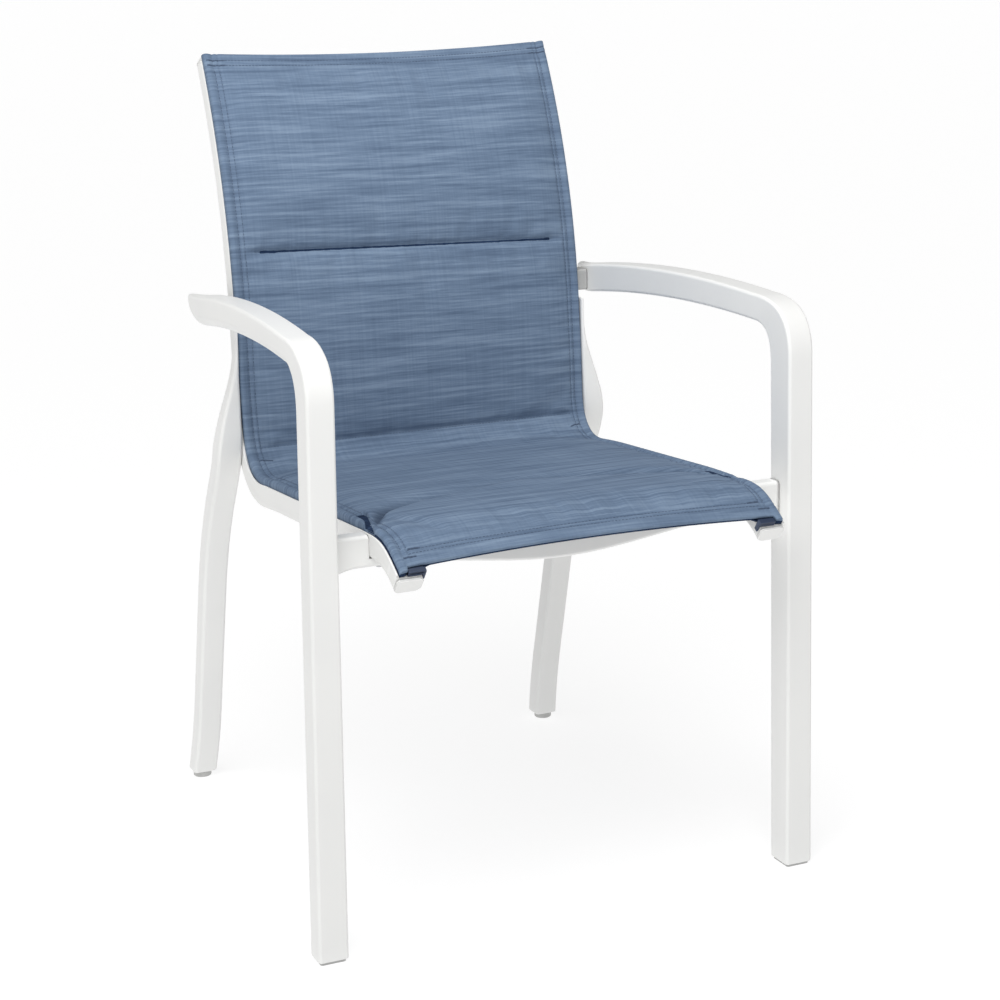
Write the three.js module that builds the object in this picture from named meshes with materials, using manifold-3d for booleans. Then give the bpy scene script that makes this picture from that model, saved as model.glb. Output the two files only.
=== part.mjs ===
// A stacking patio chair: a white moulded frame and a padded sling of woven mesh.
// Lengths are in millimetres and angles in degrees. X runs to the right as seen from the front,
// Y to the rear from the front faces of the front legs, and Z up from the floor.
import * as THREE from "three";
import { mergeVertices } from "three/addons/utils/BufferGeometryUtils.js";
import Module from "manifold-3d";

const wasm = await Module();
wasm.setup();

// Fits and facets
const clearance = 0.3;
const softClearance = 0.4;
const cutOverrun = 2;
const cornerSteps = 2;
const bigCornerSteps = 4;
const screwSides = 6;
const stemSides = 8;
const roundSides = 16;

// Sling line: the outer face of the sling above the rails, from the seat's front edge to the top
const seatHeight = 439.5;
const seatFall = 3.7;
const seatDepth = 400;
const rollStart = 24;
const rollLength = 46;
const rollCut = 42;
const rollAngle = 38;
const cornerCut = 58;
const lowerBackLean = 3.7;
const upperBackLean = 27.6;
const backBendRise = 292.5;
const backBendCut = 158;
const backRise = 440.5;
const lineSteps = 2000;
const straightRowSpacing = 100;
const curveRows = 6;
const leastRowSpacing = 9;

// Rails that carry the sling
const railOuter = 214.7;
const railWidth = 28;
const railSeatDepth = 18;
const railBackDepth = 22;
const railCorner = 4;
const railUnderCorner = 7;
const railTopNarrowing = 3;

// Sling: two cloths, with a flat bar in each side sleeve and pads between
const clothThickness = 1.8;
const slingEdgeInset = 2.5;
const hemLipWidth = 4;
const hemSetback = 10.5;
const barThickness = 3;
const barWidth = 17;
const barEdgeInset = 9;
const barEndInset = 12;
const plugEndInset = 1;
const plugTongueLength = 6;
const crownBorder = 14;
const sleeveSlope = 8;
const frontHem = 22;
const topHem = 26;
const seatSeamRise = 3.5;
const midSeamRise = 220.5;
const seatCrown = 9;
const lowerBackCrown = 8;
const upperBackCrown = 9;
const backClothCrown = 4;
const topEdgeDip = 7;
const frontEdgeDip = 10;
const seamReach = 9;
const seamSlope = 24;

// Front legs and armrests
const legTopGap = 35.8;
const legTopWidth = 29;
const legFootSplay = 6.5;
const legFootWidth = 32.3;
const legFootDepth = 35;
const legTopDepth = 39;
const armRise = 190.5;
const legBendDrop = 58;
const armThickness = 29;
const armBendReach = 72.5;
const armInnerBendDrop = 43.4;
const armCrown = 13.3;
const armUnderCrown = 11.4;
const armTail = 31.7;
const armRearDrop = 17.4;
const armUnderDrop = 22.9;
const armRearGap = 9.8;
const armRearWidth = 30.3;
const armTipRound = 63;
const armTipGap = 34.9;
const armTipDrop = 13;
const armTipTurn = 76;
const frameCorner = 3.6;
const frameBigCorner = 13;
const bendStations = 7;
const armStations = 10;
const tipStations = 5;

// Rear legs
const rearFootHeight = 8;
const rearFootReach = 172;
const rearFootDepth = 27;
const rearFootSplay = 4.4;
const rearSplayHeight = 100;
const rearKneeReach = 87;
const rearKneeDrop = 114.5;
const rearKneeCut = 70;
const rearMeetReach = 17;
const rearMeetDrop = 1.5;
const rearMeetCut = 30;
const rearLegWidth = 28.6;
const rearLegDepth = 25;
const rearLegTopDrop = 8;
const rearLegTopReach = 14.5;
const rearBladeDepth = 14;
const rearBladeThickness = 3.6;
const rearBladeLength = 20;
const rearLegCorner = 4;
const rearLegStations = 24;

// Crossbar between the front legs, with a saddle under each rail
const frontBarDepth = 20;
const frontBarDrop = 36.5;
const frontBarEndHeight = 33;
const frontBarMiddleHeight = 22;
const frontBarBow = 17.5;
const frontBarFlare = 6;
const frontBarFlareReach = 26;
const frontBarCorner = 4;
const frontBarStations = 22;
const tenonLength = 14;
const tenonHeight = 20;
const tenonDepth = 13;

// Spreaders that hold the rails apart
const spreaderHeight = 11;
const spreaderDepth = 20;
const spreaderCorner = 3;
const spreaderStations = 10;
const seatSpreaderReach = 70;
const seatSpreaderBow = 16;
const backSpreaderRise = 260.5;
const backSpreaderBow = 20;
const flangeThickness = 4;
const flangeLength = 48;
const flangeMargin = 3;

// Arm connectors
const connectorReach = 19;
const connectorDepth = 22;
const connectorDrop = 41;
const connectorHeight = 25;
const connectorCorner = 3;

// Foot glides
const frontGlideHeight = 3;
const frontGlideInset = 2.5;
const rearGlideRadius = 11;
const rearGlideRound = 2;
const glideStemRadius = 4;
const glideStemLength = 14;

// Rail end caps
const capThickness = 4;
const capPlugLength = 12;
const capPlugInset = 4;

// Screws
const screwRadius = 2.4;
const screwHeadRadius = 4.6;
const screwHeadHeight = 2.6;
const legLowerScrewRise = 16.5;
const legLowerScrewLength = 46;
const legUpperScrewRise = 58.5;
const legUpperScrewLength = 38;
const legScrewBehindLine = 15;
const armScrewLength = 56;
const saddleScrewLength = 24;
const tenonScrewLength = 15;
const flangeScrewLength = 18;
const barScrewSeatReach = 220;
const barScrewLowerRise = 120.5;
const barScrewUpperRise = 380.5;

// Finishes
const whiteResin = { color: 0xeeeeec, roughness: 0.42, metalness: 0 };
const greyResin = { color: 0xb9bab8, roughness: 0.5, metalness: 0 };
const navyResin = { color: 0x26364e, roughness: 0.6, metalness: 0 };
const blueMesh = { color: 0x6b7e96, roughness: 0.85, metalness: 0 };
const navyMesh = { color: 0x2a3a52, roughness: 0.9, metalness: 0 };
const foam = { color: 0x4a5560, roughness: 1, metalness: 0 };
const aluminium = { color: 0xb4b6b8, roughness: 0.4, metalness: 1 };
const steel = { color: 0xa8aaac, roughness: 0.35, metalness: 1 };

const { degToRad: radians, lerp, smoothstep } = THREE.MathUtils;
const acrossX = new THREE.Vector3(1, 0, 0);
const rearY = new THREE.Vector3(0, 1, 0);
const upZ = new THREE.Vector3(0, 0, 1);
const yz = (y, z) => new THREE.Vector2(y, z);
const spaced = (count) => Array.from({ length: count + 1 }, (_, step) => step / count);

// Geometry from vertices and triangles, turned so that its faces point out
function closedGeometry(vertices, triangles) {
  let volume = 0;
  for (const [a, b, c] of triangles) {
    volume += vertices[a].dot(new THREE.Vector3().crossVectors(vertices[b], vertices[c]));
  }
  const index = triangles.flatMap(([a, b, c]) => (volume > 0 ? [a, b, c] : [a, c, b]));
  const geometry = new THREE.BufferGeometry().setFromPoints(vertices);
  geometry.setIndex(index);
  return geometry;
}

// A closed body through rings of equal count, with a flat end on the first and the last
function loft(rings) {
  const count = rings[0].length;
  const vertices = rings.flat();
  const triangles = [];
  for (let r = 0; r < rings.length - 1; r++) {
    for (let i = 0; i < count; i++) {
      const a = r * count + i;
      const b = r * count + ((i + 1) % count);
      triangles.push([a, b, b + count], [a, b + count, a + count]);
    }
  }
  for (const [ring, flip] of [[0, true], [rings.length - 1, false]]) {
    const centre = new THREE.Vector3();
    rings[ring].forEach((point) => centre.add(point));
    const hub = vertices.push(centre.divideScalar(count)) - 1;
    for (let i = 0; i < count; i++) {
      const a = ring * count + i;
      const b = ring * count + ((i + 1) % count);
      triangles.push(flip ? [hub, b, a] : [hub, a, b]);
    }
  }
  return closedGeometry(vertices, triangles);
}

// A closed sheet between an upper and a lower surface over the same grid of places
function slab(columns, rows, upper, lower) {
  const across = columns.length;
  const down = rows.length;
  const layer = across * down;
  const vertices = [upper, lower].flatMap((surface) =>
    rows.flatMap((row) => columns.map((column) => surface(column, row))),
  );
  const at = (row, column) => row * across + column;
  const triangles = [];
  for (let j = 0; j < down - 1; j++) {
    for (let i = 0; i < across - 1; i++) {
      const [a, b, c, d] = [at(j, i), at(j, i + 1), at(j + 1, i + 1), at(j + 1, i)];
      triangles.push([a, b, c], [a, c, d]);
      triangles.push([a + layer, c + layer, b + layer], [a + layer, d + layer, c + layer]);
    }
  }
  const rim = [];
  for (let i = 0; i < across - 1; i++) rim.push(at(0, i));
  for (let j = 0; j < down - 1; j++) rim.push(at(j, across - 1));
  for (let i = across - 1; i > 0; i--) rim.push(at(down - 1, i));
  for (let j = down - 1; j > 0; j--) rim.push(at(j, 0));
  rim.forEach((a, k) => {
    const b = rim[(k + 1) % rim.length];
    triangles.push([a, b + layer, b], [a, a + layer, b + layer]);
  });
  return closedGeometry(vertices, triangles);
}

function solidOf(geometry) {
  const bare = geometry.clone();
  bare.deleteAttribute("normal");
  bare.deleteAttribute("uv");
  const merged = mergeVertices(bare);
  const vertProperties = new Float32Array(merged.attributes.position.array);
  const triVerts = new Uint32Array(merged.index.array);
  return new wasm.Manifold(new wasm.Mesh({ numProp: 3, vertProperties, triVerts }));
}

function geometryOf(solid) {
  const mesh = solid.getMesh();
  const geometry = new THREE.BufferGeometry();
  geometry.setAttribute("position", new THREE.BufferAttribute(mesh.vertProperties, mesh.numProp));
  geometry.setIndex(new THREE.BufferAttribute(mesh.triVerts, 1));
  return geometry;
}

function cut(geometry, ...cutters) {
  return geometryOf(cutters.reduce((solid, cutter) => solid.subtract(solidOf(cutter)), solidOf(geometry)));
}

function join(geometry, ...others) {
  return geometryOf(others.reduce((solid, other) => solid.add(solidOf(other)), solidOf(geometry)));
}

// The same piece on the other side of the chair
function mirrored(geometry) {
  const copy = geometry.clone().applyMatrix4(new THREE.Matrix4().makeScale(-1, 1, 1));
  const index = copy.index.array;
  for (let i = 0; i < index.length; i += 3) {
    [index[i + 1], index[i + 2]] = [index[i + 2], index[i + 1]];
  }
  return copy;
}

const bothSides = (geometries) => geometries.flatMap((geometry) => [geometry, mirrored(geometry)]);

// Points of a rectangle with its own radius on each corner, counted round from the first quadrant
function roundedRectangle(width, depth, radii) {
  const signs = [[1, 1], [-1, 1], [-1, -1], [1, -1]];
  return signs.flatMap(([signX, signY], corner) => {
    const radius = Math.min(radii[corner], width / 2, depth / 2);
    if (!radius) return [new THREE.Vector2((signX * width) / 2, (signY * depth) / 2)];
    const steps = radii[corner] >= frameBigCorner ? bigCornerSteps : cornerSteps;
    return spaced(steps).map((step) => {
      const angle = radians(90 * (corner + step));
      const x = signX * (width / 2 - radius) + radius * Math.cos(angle);
      const y = signY * (depth / 2 - radius) + radius * Math.sin(angle);
      return new THREE.Vector2(x, y);
    });
  });
}

// A rounded rectangle placed in space by its centre and the ways of its width and depth
function ring(centre, widthWay, depthWay, width, depth, radii) {
  return roundedRectangle(width, depth, radii).map((point) =>
    centre.clone().addScaledVector(widthWay, point.x).addScaledVector(depthWay, point.y),
  );
}

function box(centre, width, depth, height) {
  return new THREE.BoxGeometry(width, depth, height).translate(centre.x, centre.y, centre.z);
}

// A body of revolution whose profile is given as (radius, place along its way)
function turned(from, way, profile, sides) {
  const points = profile.map(([radius, place]) => new THREE.Vector2(radius, place));
  const turn = new THREE.Quaternion().setFromUnitVectors(rearY, way);
  return new THREE.LatheGeometry(points, sides).applyQuaternion(turn).translate(from.x, from.y, from.z);
}

const rod = (from, way, start, end, radius, sides) =>
  turned(from, way, [[0, start], [radius, start], [radius, end], [0, end]], sides);

// A line of straight stretches in (Y, Z), with each inner corner rounded from its own cut length
function roundedPath(corners, cuts) {
  const path = new THREE.CurvePath();
  let start = corners[0];
  for (let i = 1; i < corners.length - 1; i++) {
    const corner = corners[i];
    const towards = (other) => corner.clone().add(other.clone().sub(corner).setLength(cuts[i - 1]));
    const [before, after] = [towards(corners[i - 1]), towards(corners[i + 1])];
    path.add(new THREE.LineCurve(start, before));
    path.add(new THREE.QuadraticBezierCurve(before, corner, after));
    start = after;
  }
  path.add(new THREE.LineCurve(start, corners.at(-1)));
  return path;
}

function tangentOf(path, share) {
  const step = 1 / lineSteps;
  const from = path.getPoint(Math.max(0, share - step));
  return path.getPoint(Math.min(1, share + step)).sub(from).normalize();
}

// Heights and places that follow from the seat's height and depth, the armrest's rise and the rails
const backHeight = seatHeight + backRise;
const armHeight = seatHeight + armRise;
const connectorFront = seatDepth + connectorReach;
const connectorBottom = armHeight - connectorDrop;
const armLength = connectorFront + connectorDepth + armTail;
const rearLegTop = connectorBottom - rearLegTopDrop;
const rearFootY = seatDepth + rearFootReach;
const frontBarUnderside = seatHeight - frontBarDrop;
const legTopInner = railOuter + legTopGap;
const legTopOuter = legTopInner + legTopWidth;
const legFootInner = legTopInner + legFootSplay;
const legFootOuter = legFootInner + legFootWidth;
const armRearInner = railOuter + armRearGap;
const armRearOuter = armRearInner + armRearWidth;
const armTipX = railOuter + armTipGap;

// Sling line and the places on it
function slingCorners() {
  const slope = Math.tan(radians(seatFall));
  const roll = yz(-rollStart, seatHeight + rollStart * slope);
  const edgeWay = yz(-Math.cos(radians(rollAngle)), -Math.sin(radians(rollAngle)));
  const edge = roll.clone().addScaledVector(edgeWay, rollLength);
  const corner = yz(seatDepth, seatHeight - seatDepth * slope);
  const bendHeight = seatHeight + backBendRise;
  const bendY = corner.x + (bendHeight - corner.y) * Math.tan(radians(lowerBackLean));
  const topY = bendY + (backHeight - bendHeight) * Math.tan(radians(upperBackLean));
  return [edge, roll, corner, yz(bendY, bendHeight), yz(topY, backHeight)];
}

const slingLine = roundedPath(slingCorners(), [rollCut, cornerCut, backBendCut]);
const slingLength = slingLine.getLength();

function alongWhere(test) {
  return slingLength * spaced(lineSteps).find((share) => test(slingLine.getPoint(share)));
}

const alongAtY = (y) => alongWhere((point) => point.x >= y);
const alongAtHeight = (z) => alongWhere((point) => point.y >= z && point.x > seatDepth / 2);

// The rails and the sling draw a little nearer to each other up the back
function narrowed(x, z) {
  const upTheBack = Math.max(0, z - seatHeight) / (backHeight - seatHeight);
  return x * (1 - (railTopNarrowing / railOuter) * upTheBack);
}

// A point at a place across, a length along the sling line and a height towards the sitter
function slingPoint(x, along, height) {
  const share = along / slingLength;
  const point = slingLine.getPoint(share);
  const way = tangentOf(slingLine, share);
  return new THREE.Vector3(narrowed(x, point.y), point.x - way.y * height, point.y + way.x * height);
}

function slingNormal(along) {
  const way = tangentOf(slingLine, along / slingLength);
  return new THREE.Vector3(0, -way.y, way.x);
}

// Layers under the sling line at the rails, as depths
const barTopDepth = clothThickness + softClearance;
const backClothDepth = barTopDepth + barThickness + softClearance;
const railTopDepth = backClothDepth + clothThickness + softClearance;
const railInner = railOuter - railWidth;
const railCentre = railOuter - railWidth / 2;
const backStart = alongAtY(seatDepth);

function railDepth(along) {
  const share = smoothstep(along, backStart - cornerCut, backStart + cornerCut);
  return lerp(railSeatDepth, railBackDepth, share);
}

const railUnderDepth = (along) => railTopDepth + railDepth(along);
const railMiddleDepth = (along) => railTopDepth + railDepth(along) / 2;

// Panels of padding between seams and hems
const barStart = hemSetback + plugTongueLength + clearance;
const seatSeam = alongAtHeight(seatHeight + seatSeamRise);
const midSeam = alongAtHeight(seatHeight + midSeamRise);
const panels = [
  { name: "seat_pad", from: hemSetback + frontHem, to: seatSeam, crown: seatCrown },
  { name: "lower_back_pad", from: seatSeam, to: midSeam, crown: lowerBackCrown },
  { name: "upper_back_pad", from: midSeam, to: slingLength - topHem, crown: upperBackCrown },
];

// Rows that every body on the sling line shares: seams first, then the curves of the line
function lineRows() {
  const rows = [0, hemSetback, barStart, slingLength - barEndInset, slingLength];
  for (const { from, to } of panels) {
    rows.push(from, from + seamReach, from + seamSlope, to - seamSlope, to - seamReach);
  }
  rows.push(panels.at(-1).to);
  let start = 0;
  for (const curve of slingLine.curves) {
    const length = curve.getLength();
    const straight = curve instanceof THREE.LineCurve;
    const count = straight ? Math.ceil(length / straightRowSpacing) : curveRows;
    for (const share of spaced(count)) {
      const row = start + length * share;
      if (rows.every((other) => Math.abs(other - row) >= leastRowSpacing)) rows.push(row);
    }
    start += length;
  }
  return rows.sort((a, b) => a - b);
}

const rows = lineRows();

function rowsBetween(a, b) {
  const [from, to] = [Math.min(a, b), Math.max(a, b)];
  const inside = rows.filter((row) => row > from + softClearance && row < to - softClearance);
  return [from, ...inside, to];
}

// A body that follows the rail, with its top face and its thickness given along it
function railSweep(x, width, from, to, topOf, depthOf, radii) {
  const rings = rowsBetween(from, to).map((along) => {
    const depth = depthOf(along);
    const centre = slingPoint(x, along, -topOf(along) - depth / 2);
    return ring(centre, acrossX, slingNormal(along), width, depth, radii);
  });
  return loft(rings);
}

const railRadii = [railCorner, railCorner, railUnderCorner, railCorner];
const capSeat = capThickness + clearance;

function rail() {
  const topOf = () => railTopDepth;
  const [from, to] = [capSeat, slingLength - capSeat];
  const body = railSweep(railCentre, railWidth, from, to, topOf, railDepth, railRadii);
  return cut(body, railPlug(0, 1, clearance), railPlug(slingLength, -1, clearance), ...holes("sling_rail"));
}

// The plug of an end cap, or its pocket in the rail when it is grown by a clearance
function railPlug(end, inward, grow) {
  const from = end + (inward * capThickness) / 2;
  const to = end + inward * (capThickness + capPlugLength + grow);
  const topOf = () => railTopDepth + capPlugInset - grow;
  const depthOf = (along) => railDepth(along) - 2 * (capPlugInset - grow);
  const width = railWidth - 2 * (capPlugInset - grow);
  return railSweep(railCentre, width, from, to, topOf, depthOf, Array(4).fill(capPlugInset / 2));
}

function railCap(end, inward) {
  const to = end + inward * capThickness;
  const plate = railSweep(railCentre, railWidth, end, to, () => railTopDepth, railDepth, railRadii);
  return join(plate, railPlug(end, inward, 0));
}

// Sling: its edges, its pads and the places across and along it
const slingHalf = railOuter - slingEdgeInset;
const crownHalf = slingHalf - crownBorder;
const lipInner = slingHalf - hemLipWidth;
const barCentre = slingHalf - barEdgeInset - barWidth / 2;
const sleeveInner = barCentre - barWidth / 2 - clearance;
const backHalf = sleeveInner - sleeveSlope;
const innerShares = [1, 0.78, 0.4];
const mirroredPlaces = (half) => [...half.map((x) => -x), 0, ...half.toReversed()];
const padPlaces = [sleeveInner, ...innerShares.map((share) => share * backHalf)];
const padColumns = mirroredPlaces(padPlaces);
const frontColumns = mirroredPlaces([slingHalf, lipInner + clearance, lipInner, crownHalf, ...padPlaces]);
const backColumns = mirroredPlaces([slingHalf, crownHalf, ...padPlaces]);

// How full the padding is: 0 on a seam or border and near 1 inside a panel
function fullness(panel, x, along, half) {
  if (!panel || Math.abs(x) >= half) return 0;
  const share = (2 * (along - panel.from)) / (panel.to - panel.from) - 1;
  return (1 - Math.abs(x / half) ** 6) * (1 - Math.abs(share) ** 10);
}

const panelAt = (along) => panels.find(({ from, to }) => along > from && along < to);

// The free edges are drawn in towards the middle of the seat's front and of the top
function drawnIn(x, along) {
  const middle = 1 - (x / slingHalf) ** 2;
  const front = Math.max(0, 1 - along / seatDepth) ** 2;
  const top = Math.max(0, (along - midSeam) / (slingLength - midSeam)) ** 2;
  return along + middle * (frontEdgeDip * front - topEdgeDip * top);
}

function frontClothHeight(x, along) {
  const panel = panelAt(along);
  return panel ? panel.crown * fullness(panel, x, along, crownHalf) : 0;
}

function backClothHeight(x, along) {
  const overBar = smoothstep(Math.abs(x), backHalf, sleeveInner);
  const parting = lerp(clothThickness + softClearance, backClothDepth, overBar);
  return -parting - backClothCrown * fullness(panelAt(along), x, along, backHalf);
}

const clothPoint = (x, along, height) => slingPoint(x, drawnIn(x, along), height);

// The front cloth folds down over the bars with a lip along each side
function frontCloth() {
  const upper = (x, along) => clothPoint(x, along, frontClothHeight(x, along));
  const lower = (x, along) => {
    const lip = Math.abs(x) > lipInner ? barThickness + clearance : 0;
    return clothPoint(x, along, frontClothHeight(x, along) - clothThickness - lip);
  };
  return slab(frontColumns, rowsBetween(hemSetback, slingLength), upper, lower);
}

function backCloth() {
  const upper = (x, along) => clothPoint(x, along, backClothHeight(x, along));
  const lower = (x, along) => clothPoint(x, along, backClothHeight(x, along) - clothThickness);
  const sheet = slab(backColumns, rowsBetween(hemSetback, slingLength), upper, lower);
  return cut(sheet, ...bothSides(holes("sling_back_cloth")));
}

function pad(panel) {
  const upper = (x, along) =>
    clothPoint(x, along, frontClothHeight(x, along) - clothThickness - softClearance);
  const lower = (x, along) => clothPoint(x, along, backClothHeight(x, along) + softClearance);
  return slab(padColumns, rowsBetween(panel.from + seamReach, panel.to - seamReach), upper, lower);
}

// A flat strip in the layer between the two cloths, over the rail
function barLayer(from, to, thickness) {
  const depths = [() => barTopDepth, () => thickness];
  return railSweep(barCentre, barWidth, from, to, ...depths, Array(4).fill(0));
}

function slingBar() {
  return cut(barLayer(barStart, slingLength - barEndInset, barThickness), ...holes("sling_bar"));
}

// A plug on the rail's top in front of the hem, with a tongue in the sling's sleeve
function sleevePlug() {
  const head = barLayer(plugEndInset, hemSetback - clearance, railTopDepth - softClearance - barTopDepth);
  return join(head, barLayer(plugEndInset, hemSetback + plugTongueLength, barThickness));
}

// Side frame: a front leg that bends over into an armrest with a pointed rear end
const legBendHeight = armHeight - legBendDrop;
const legDepthAt = (z) => lerp(legFootDepth, legTopDepth, Math.min(1, z / legBendHeight));
const bend = (from, corner, to) => new THREE.QuadraticBezierCurve(from, corner, to);
const pointsOn = (curve, count, end) => spaced(count).slice(1).map((share) => curve.getPoint(share * end));

function sideX(foot, top, rear, y, z) {
  const leg = lerp(foot, top, Math.min(1, z / armHeight));
  return lerp(leg, rear, Math.max(0, (y - legTopDepth) / (armLength - legTopDepth)));
}

const sideInnerX = (y, z) => sideX(legFootInner, legTopInner, armRearInner, y, z);
const sideOuterX = (y, z) => sideX(legFootOuter, legTopOuter, armRearOuter, y, z);

// One section from two facing outline points, drawn in by a share towards the tip's centre
function sideRing(outer, inner, drawn) {
  const middle = outer.clone().add(inner).divideScalar(2);
  const from = lerp(sideInnerX(middle.x, middle.y), armTipX, drawn);
  const to = lerp(sideOuterX(middle.x, middle.y), armTipX, drawn);
  const centre = new THREE.Vector3((from + to) / 2, middle.x, middle.y);
  const depthWay = new THREE.Vector3(0, outer.x - inner.x, outer.y - inner.y);
  const depth = depthWay.length();
  const radii = [frameCorner, frameCorner, frameCorner, frameBigCorner];
  return ring(centre, acrossX, depthWay.normalize(), to - from, depth, radii);
}

function sideBody() {
  const foot = frontGlideHeight + clearance;
  const outer = [foot, (foot + legBendHeight) / 2, legBendHeight].map((z) => yz(0, z));
  const innerBend = armHeight - armThickness - armInnerBendDrop;
  const inner = outer.map(({ y }) => yz(legDepthAt(y), Math.min(y, innerBend)));
  const armStart = yz(armBendReach, armHeight);
  const underStart = yz(armBendReach, armHeight - armThickness);
  outer.push(...pointsOn(bend(outer.at(-1), yz(0, armHeight), armStart), bendStations, 1));
  inner.push(...pointsOn(bend(inner.at(-1), yz(legTopDepth, underStart.y), underStart), bendStations, 1));
  const middleY = (armBendReach + armLength) / 2;
  const top = bend(armStart, yz(middleY, armStart.y + armCrown), yz(armLength, armStart.y - armRearDrop));
  const underEnd = yz(armLength, underStart.y - armUnderDrop);
  const under = bend(underStart, yz(middleY, underStart.y + armUnderCrown), underEnd);
  const tipShare = 1 - armTipRound / (armLength - armBendReach);
  outer.push(...pointsOn(top, armStations, tipShare));
  inner.push(...pointsOn(under, armStations, tipShare));
  const rings = outer.map((point, station) => sideRing(point, inner[station], 0));
  for (const share of spaced(tipStations).slice(1)) {
    const turn = radians(armTipTurn * share);
    const drawn = 1 - Math.cos(turn);
    const towardsTip = (curve) => {
      const point = curve.getPoint(lerp(tipShare, 1, Math.sin(turn)));
      return yz(point.x, lerp(point.y, armHeight - armTipDrop, drawn));
    };
    rings.push(sideRing(towardsTip(top), towardsTip(under), drawn));
  }
  return loft(rings);
}

function sideFrame() {
  const socket = glideStem(frontGlideCentre, clearance);
  return cut(sideBody(), socket, tenon(clearance), ...holes("side_frame"));
}

// Rear leg: it thins into a blade beside the rail
function rearLegSection(path, share) {
  const point = path.getPoint(share);
  const way = tangentOf(path, share);
  const splay = rearFootSplay * Math.max(0, 1 - point.y / rearSplayHeight) ** 2;
  const blade = smoothstep(point.y, seatHeight - rearMeetDrop, rearLegTop - rearBladeLength);
  const width = lerp(rearLegWidth, rearBladeThickness, blade);
  const inner = narrowed(railOuter, point.y) + clearance + splay;
  const atFoot = Math.max(0, 1 - (point.y - rearFootHeight) / rearSplayHeight);
  const depthWay = new THREE.Vector3(0, lerp(way.y, 1, atFoot), lerp(-way.x, 0, atFoot)).normalize();
  const depth = lerp(lerp(rearLegDepth, rearFootDepth, atFoot), rearBladeDepth, blade);
  const centre = new THREE.Vector3(inner + width / 2, point.x, point.y);
  return ring(centre, acrossX, depthWay, width, depth, Array(4).fill(rearLegCorner));
}

function rearLeg() {
  const foot = yz(rearFootY, rearFootHeight);
  const knee = yz(seatDepth + rearKneeReach, seatHeight - rearKneeDrop);
  const meet = yz(seatDepth + rearMeetReach, seatHeight - rearMeetDrop);
  const top = yz(seatDepth + rearLegTopReach, rearLegTop);
  const path = roundedPath([foot, knee, meet, top], [rearKneeCut, rearMeetCut]);
  const body = loft(spaced(rearLegStations).map((share) => rearLegSection(path, share)));
  return cut(body, glideStem(rearGlideCentre, clearance), ...holes("rear_leg"));
}

// Front crossbar: flush with the legs' rear faces and bowed down in the middle,
// with a tenon in each leg and a saddle under each rail
const frontBarTop = frontBarUnderside + frontBarEndHeight;
const frontBarEnd = sideInnerX(0, frontBarTop) - clearance;
const frontBarEndMiddle = frontBarUnderside + frontBarEndHeight / 2;
const frontBarRear = legDepthAt(frontBarEndMiddle);
const frontBarMiddleY = frontBarRear - frontBarDepth / 2;

function frontBarSection(share) {
  const x = frontBarEnd * Math.sin(radians(90 * share));
  const bow = frontBarBow * Math.cos(radians(90 * Math.min(1, Math.abs(x / railCentre)))) ** 2;
  const flare = frontBarFlare * Math.max(0, 1 - (frontBarEnd - Math.abs(x)) / frontBarFlareReach) ** 2;
  const endShare = smoothstep(Math.abs(x), railInner, railOuter);
  const top = frontBarUnderside - bow + lerp(frontBarMiddleHeight, frontBarEndHeight, endShare);
  const bottom = frontBarUnderside - bow - flare;
  const centre = new THREE.Vector3(x, frontBarMiddleY, (top + bottom) / 2);
  return ring(centre, rearY, upZ, frontBarDepth, top - bottom, Array(4).fill(frontBarCorner));
}

// The tenon of the crossbar, or its pocket in the leg when it is grown by a clearance
function tenon(grow) {
  const length = tenonLength + clearance + grow + cutOverrun;
  const middle = frontBarEnd - cutOverrun + length / 2;
  const centre = new THREE.Vector3(middle, frontBarMiddleY, frontBarEndMiddle);
  return box(centre, length, tenonDepth + 2 * grow, tenonHeight + 2 * grow);
}

function saddle() {
  const crossing = alongAtY(frontBarMiddleY);
  const [from, to] = [crossing - frontBarDepth, crossing + frontBarDepth];
  const depthOf = (along) => railUnderDepth(along) + clearance + cutOverrun;
  const width = railWidth + 2 * clearance;
  const radii = Array(4).fill(0);
  return railSweep(railCentre, width, from, to, () => -cutOverrun, depthOf, radii);
}

function frontCrossbar() {
  const shares = spaced(frontBarStations).map((share) => 2 * share - 1);
  const body = join(loft(shares.map(frontBarSection)), ...bothSides([tenon(0)]));
  return cut(body, ...bothSides([saddle(), ...holes("front_crossbar")]));
}

// Spreader: a bar bowed away from the sitter, with a flange on each rail's inner face
const flangeCentre = railInner - clearance - flangeThickness / 2;
const flangeFace = railInner - clearance - flangeThickness;
const flangeScrewOffset = (flangeLength + spreaderDepth) / 4;

function spreader(crossing, bow, name) {
  const way = slingNormal(crossing);
  const depthWay = new THREE.Vector3().crossVectors(acrossX, way);
  const rings = spaced(spreaderStations).map((share) => {
    const place = 2 * share - 1;
    const sag = bow * (1 - place ** 2);
    const centre = slingPoint(place * flangeCentre, crossing, -railMiddleDepth(crossing) - sag);
    const radii = Array(4).fill(spreaderCorner);
    return ring(centre, depthWay, way, spreaderDepth, spreaderHeight, radii);
  });
  const topOf = () => railTopDepth + flangeMargin;
  const depthOf = (along) => railDepth(along) - 2 * flangeMargin;
  const [from, to] = [crossing - flangeLength / 2, crossing + flangeLength / 2];
  const radii = Array(4).fill(spreaderCorner / 2);
  const flange = railSweep(flangeCentre, flangeThickness, from, to, topOf, depthOf, radii);
  return cut(join(loft(rings), ...bothSides([flange])), ...bothSides(holes(name)));
}

const seatSpreaderPlace = alongAtY(seatDepth - seatSpreaderReach);
const backSpreaderPlace = alongAtHeight(seatHeight + backSpreaderRise);

// Arm connector: a block between the rail's outer face and the armrest's inner face
const connectorMiddle = yz(connectorFront + connectorDepth / 2, connectorBottom + connectorHeight / 2);

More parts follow.
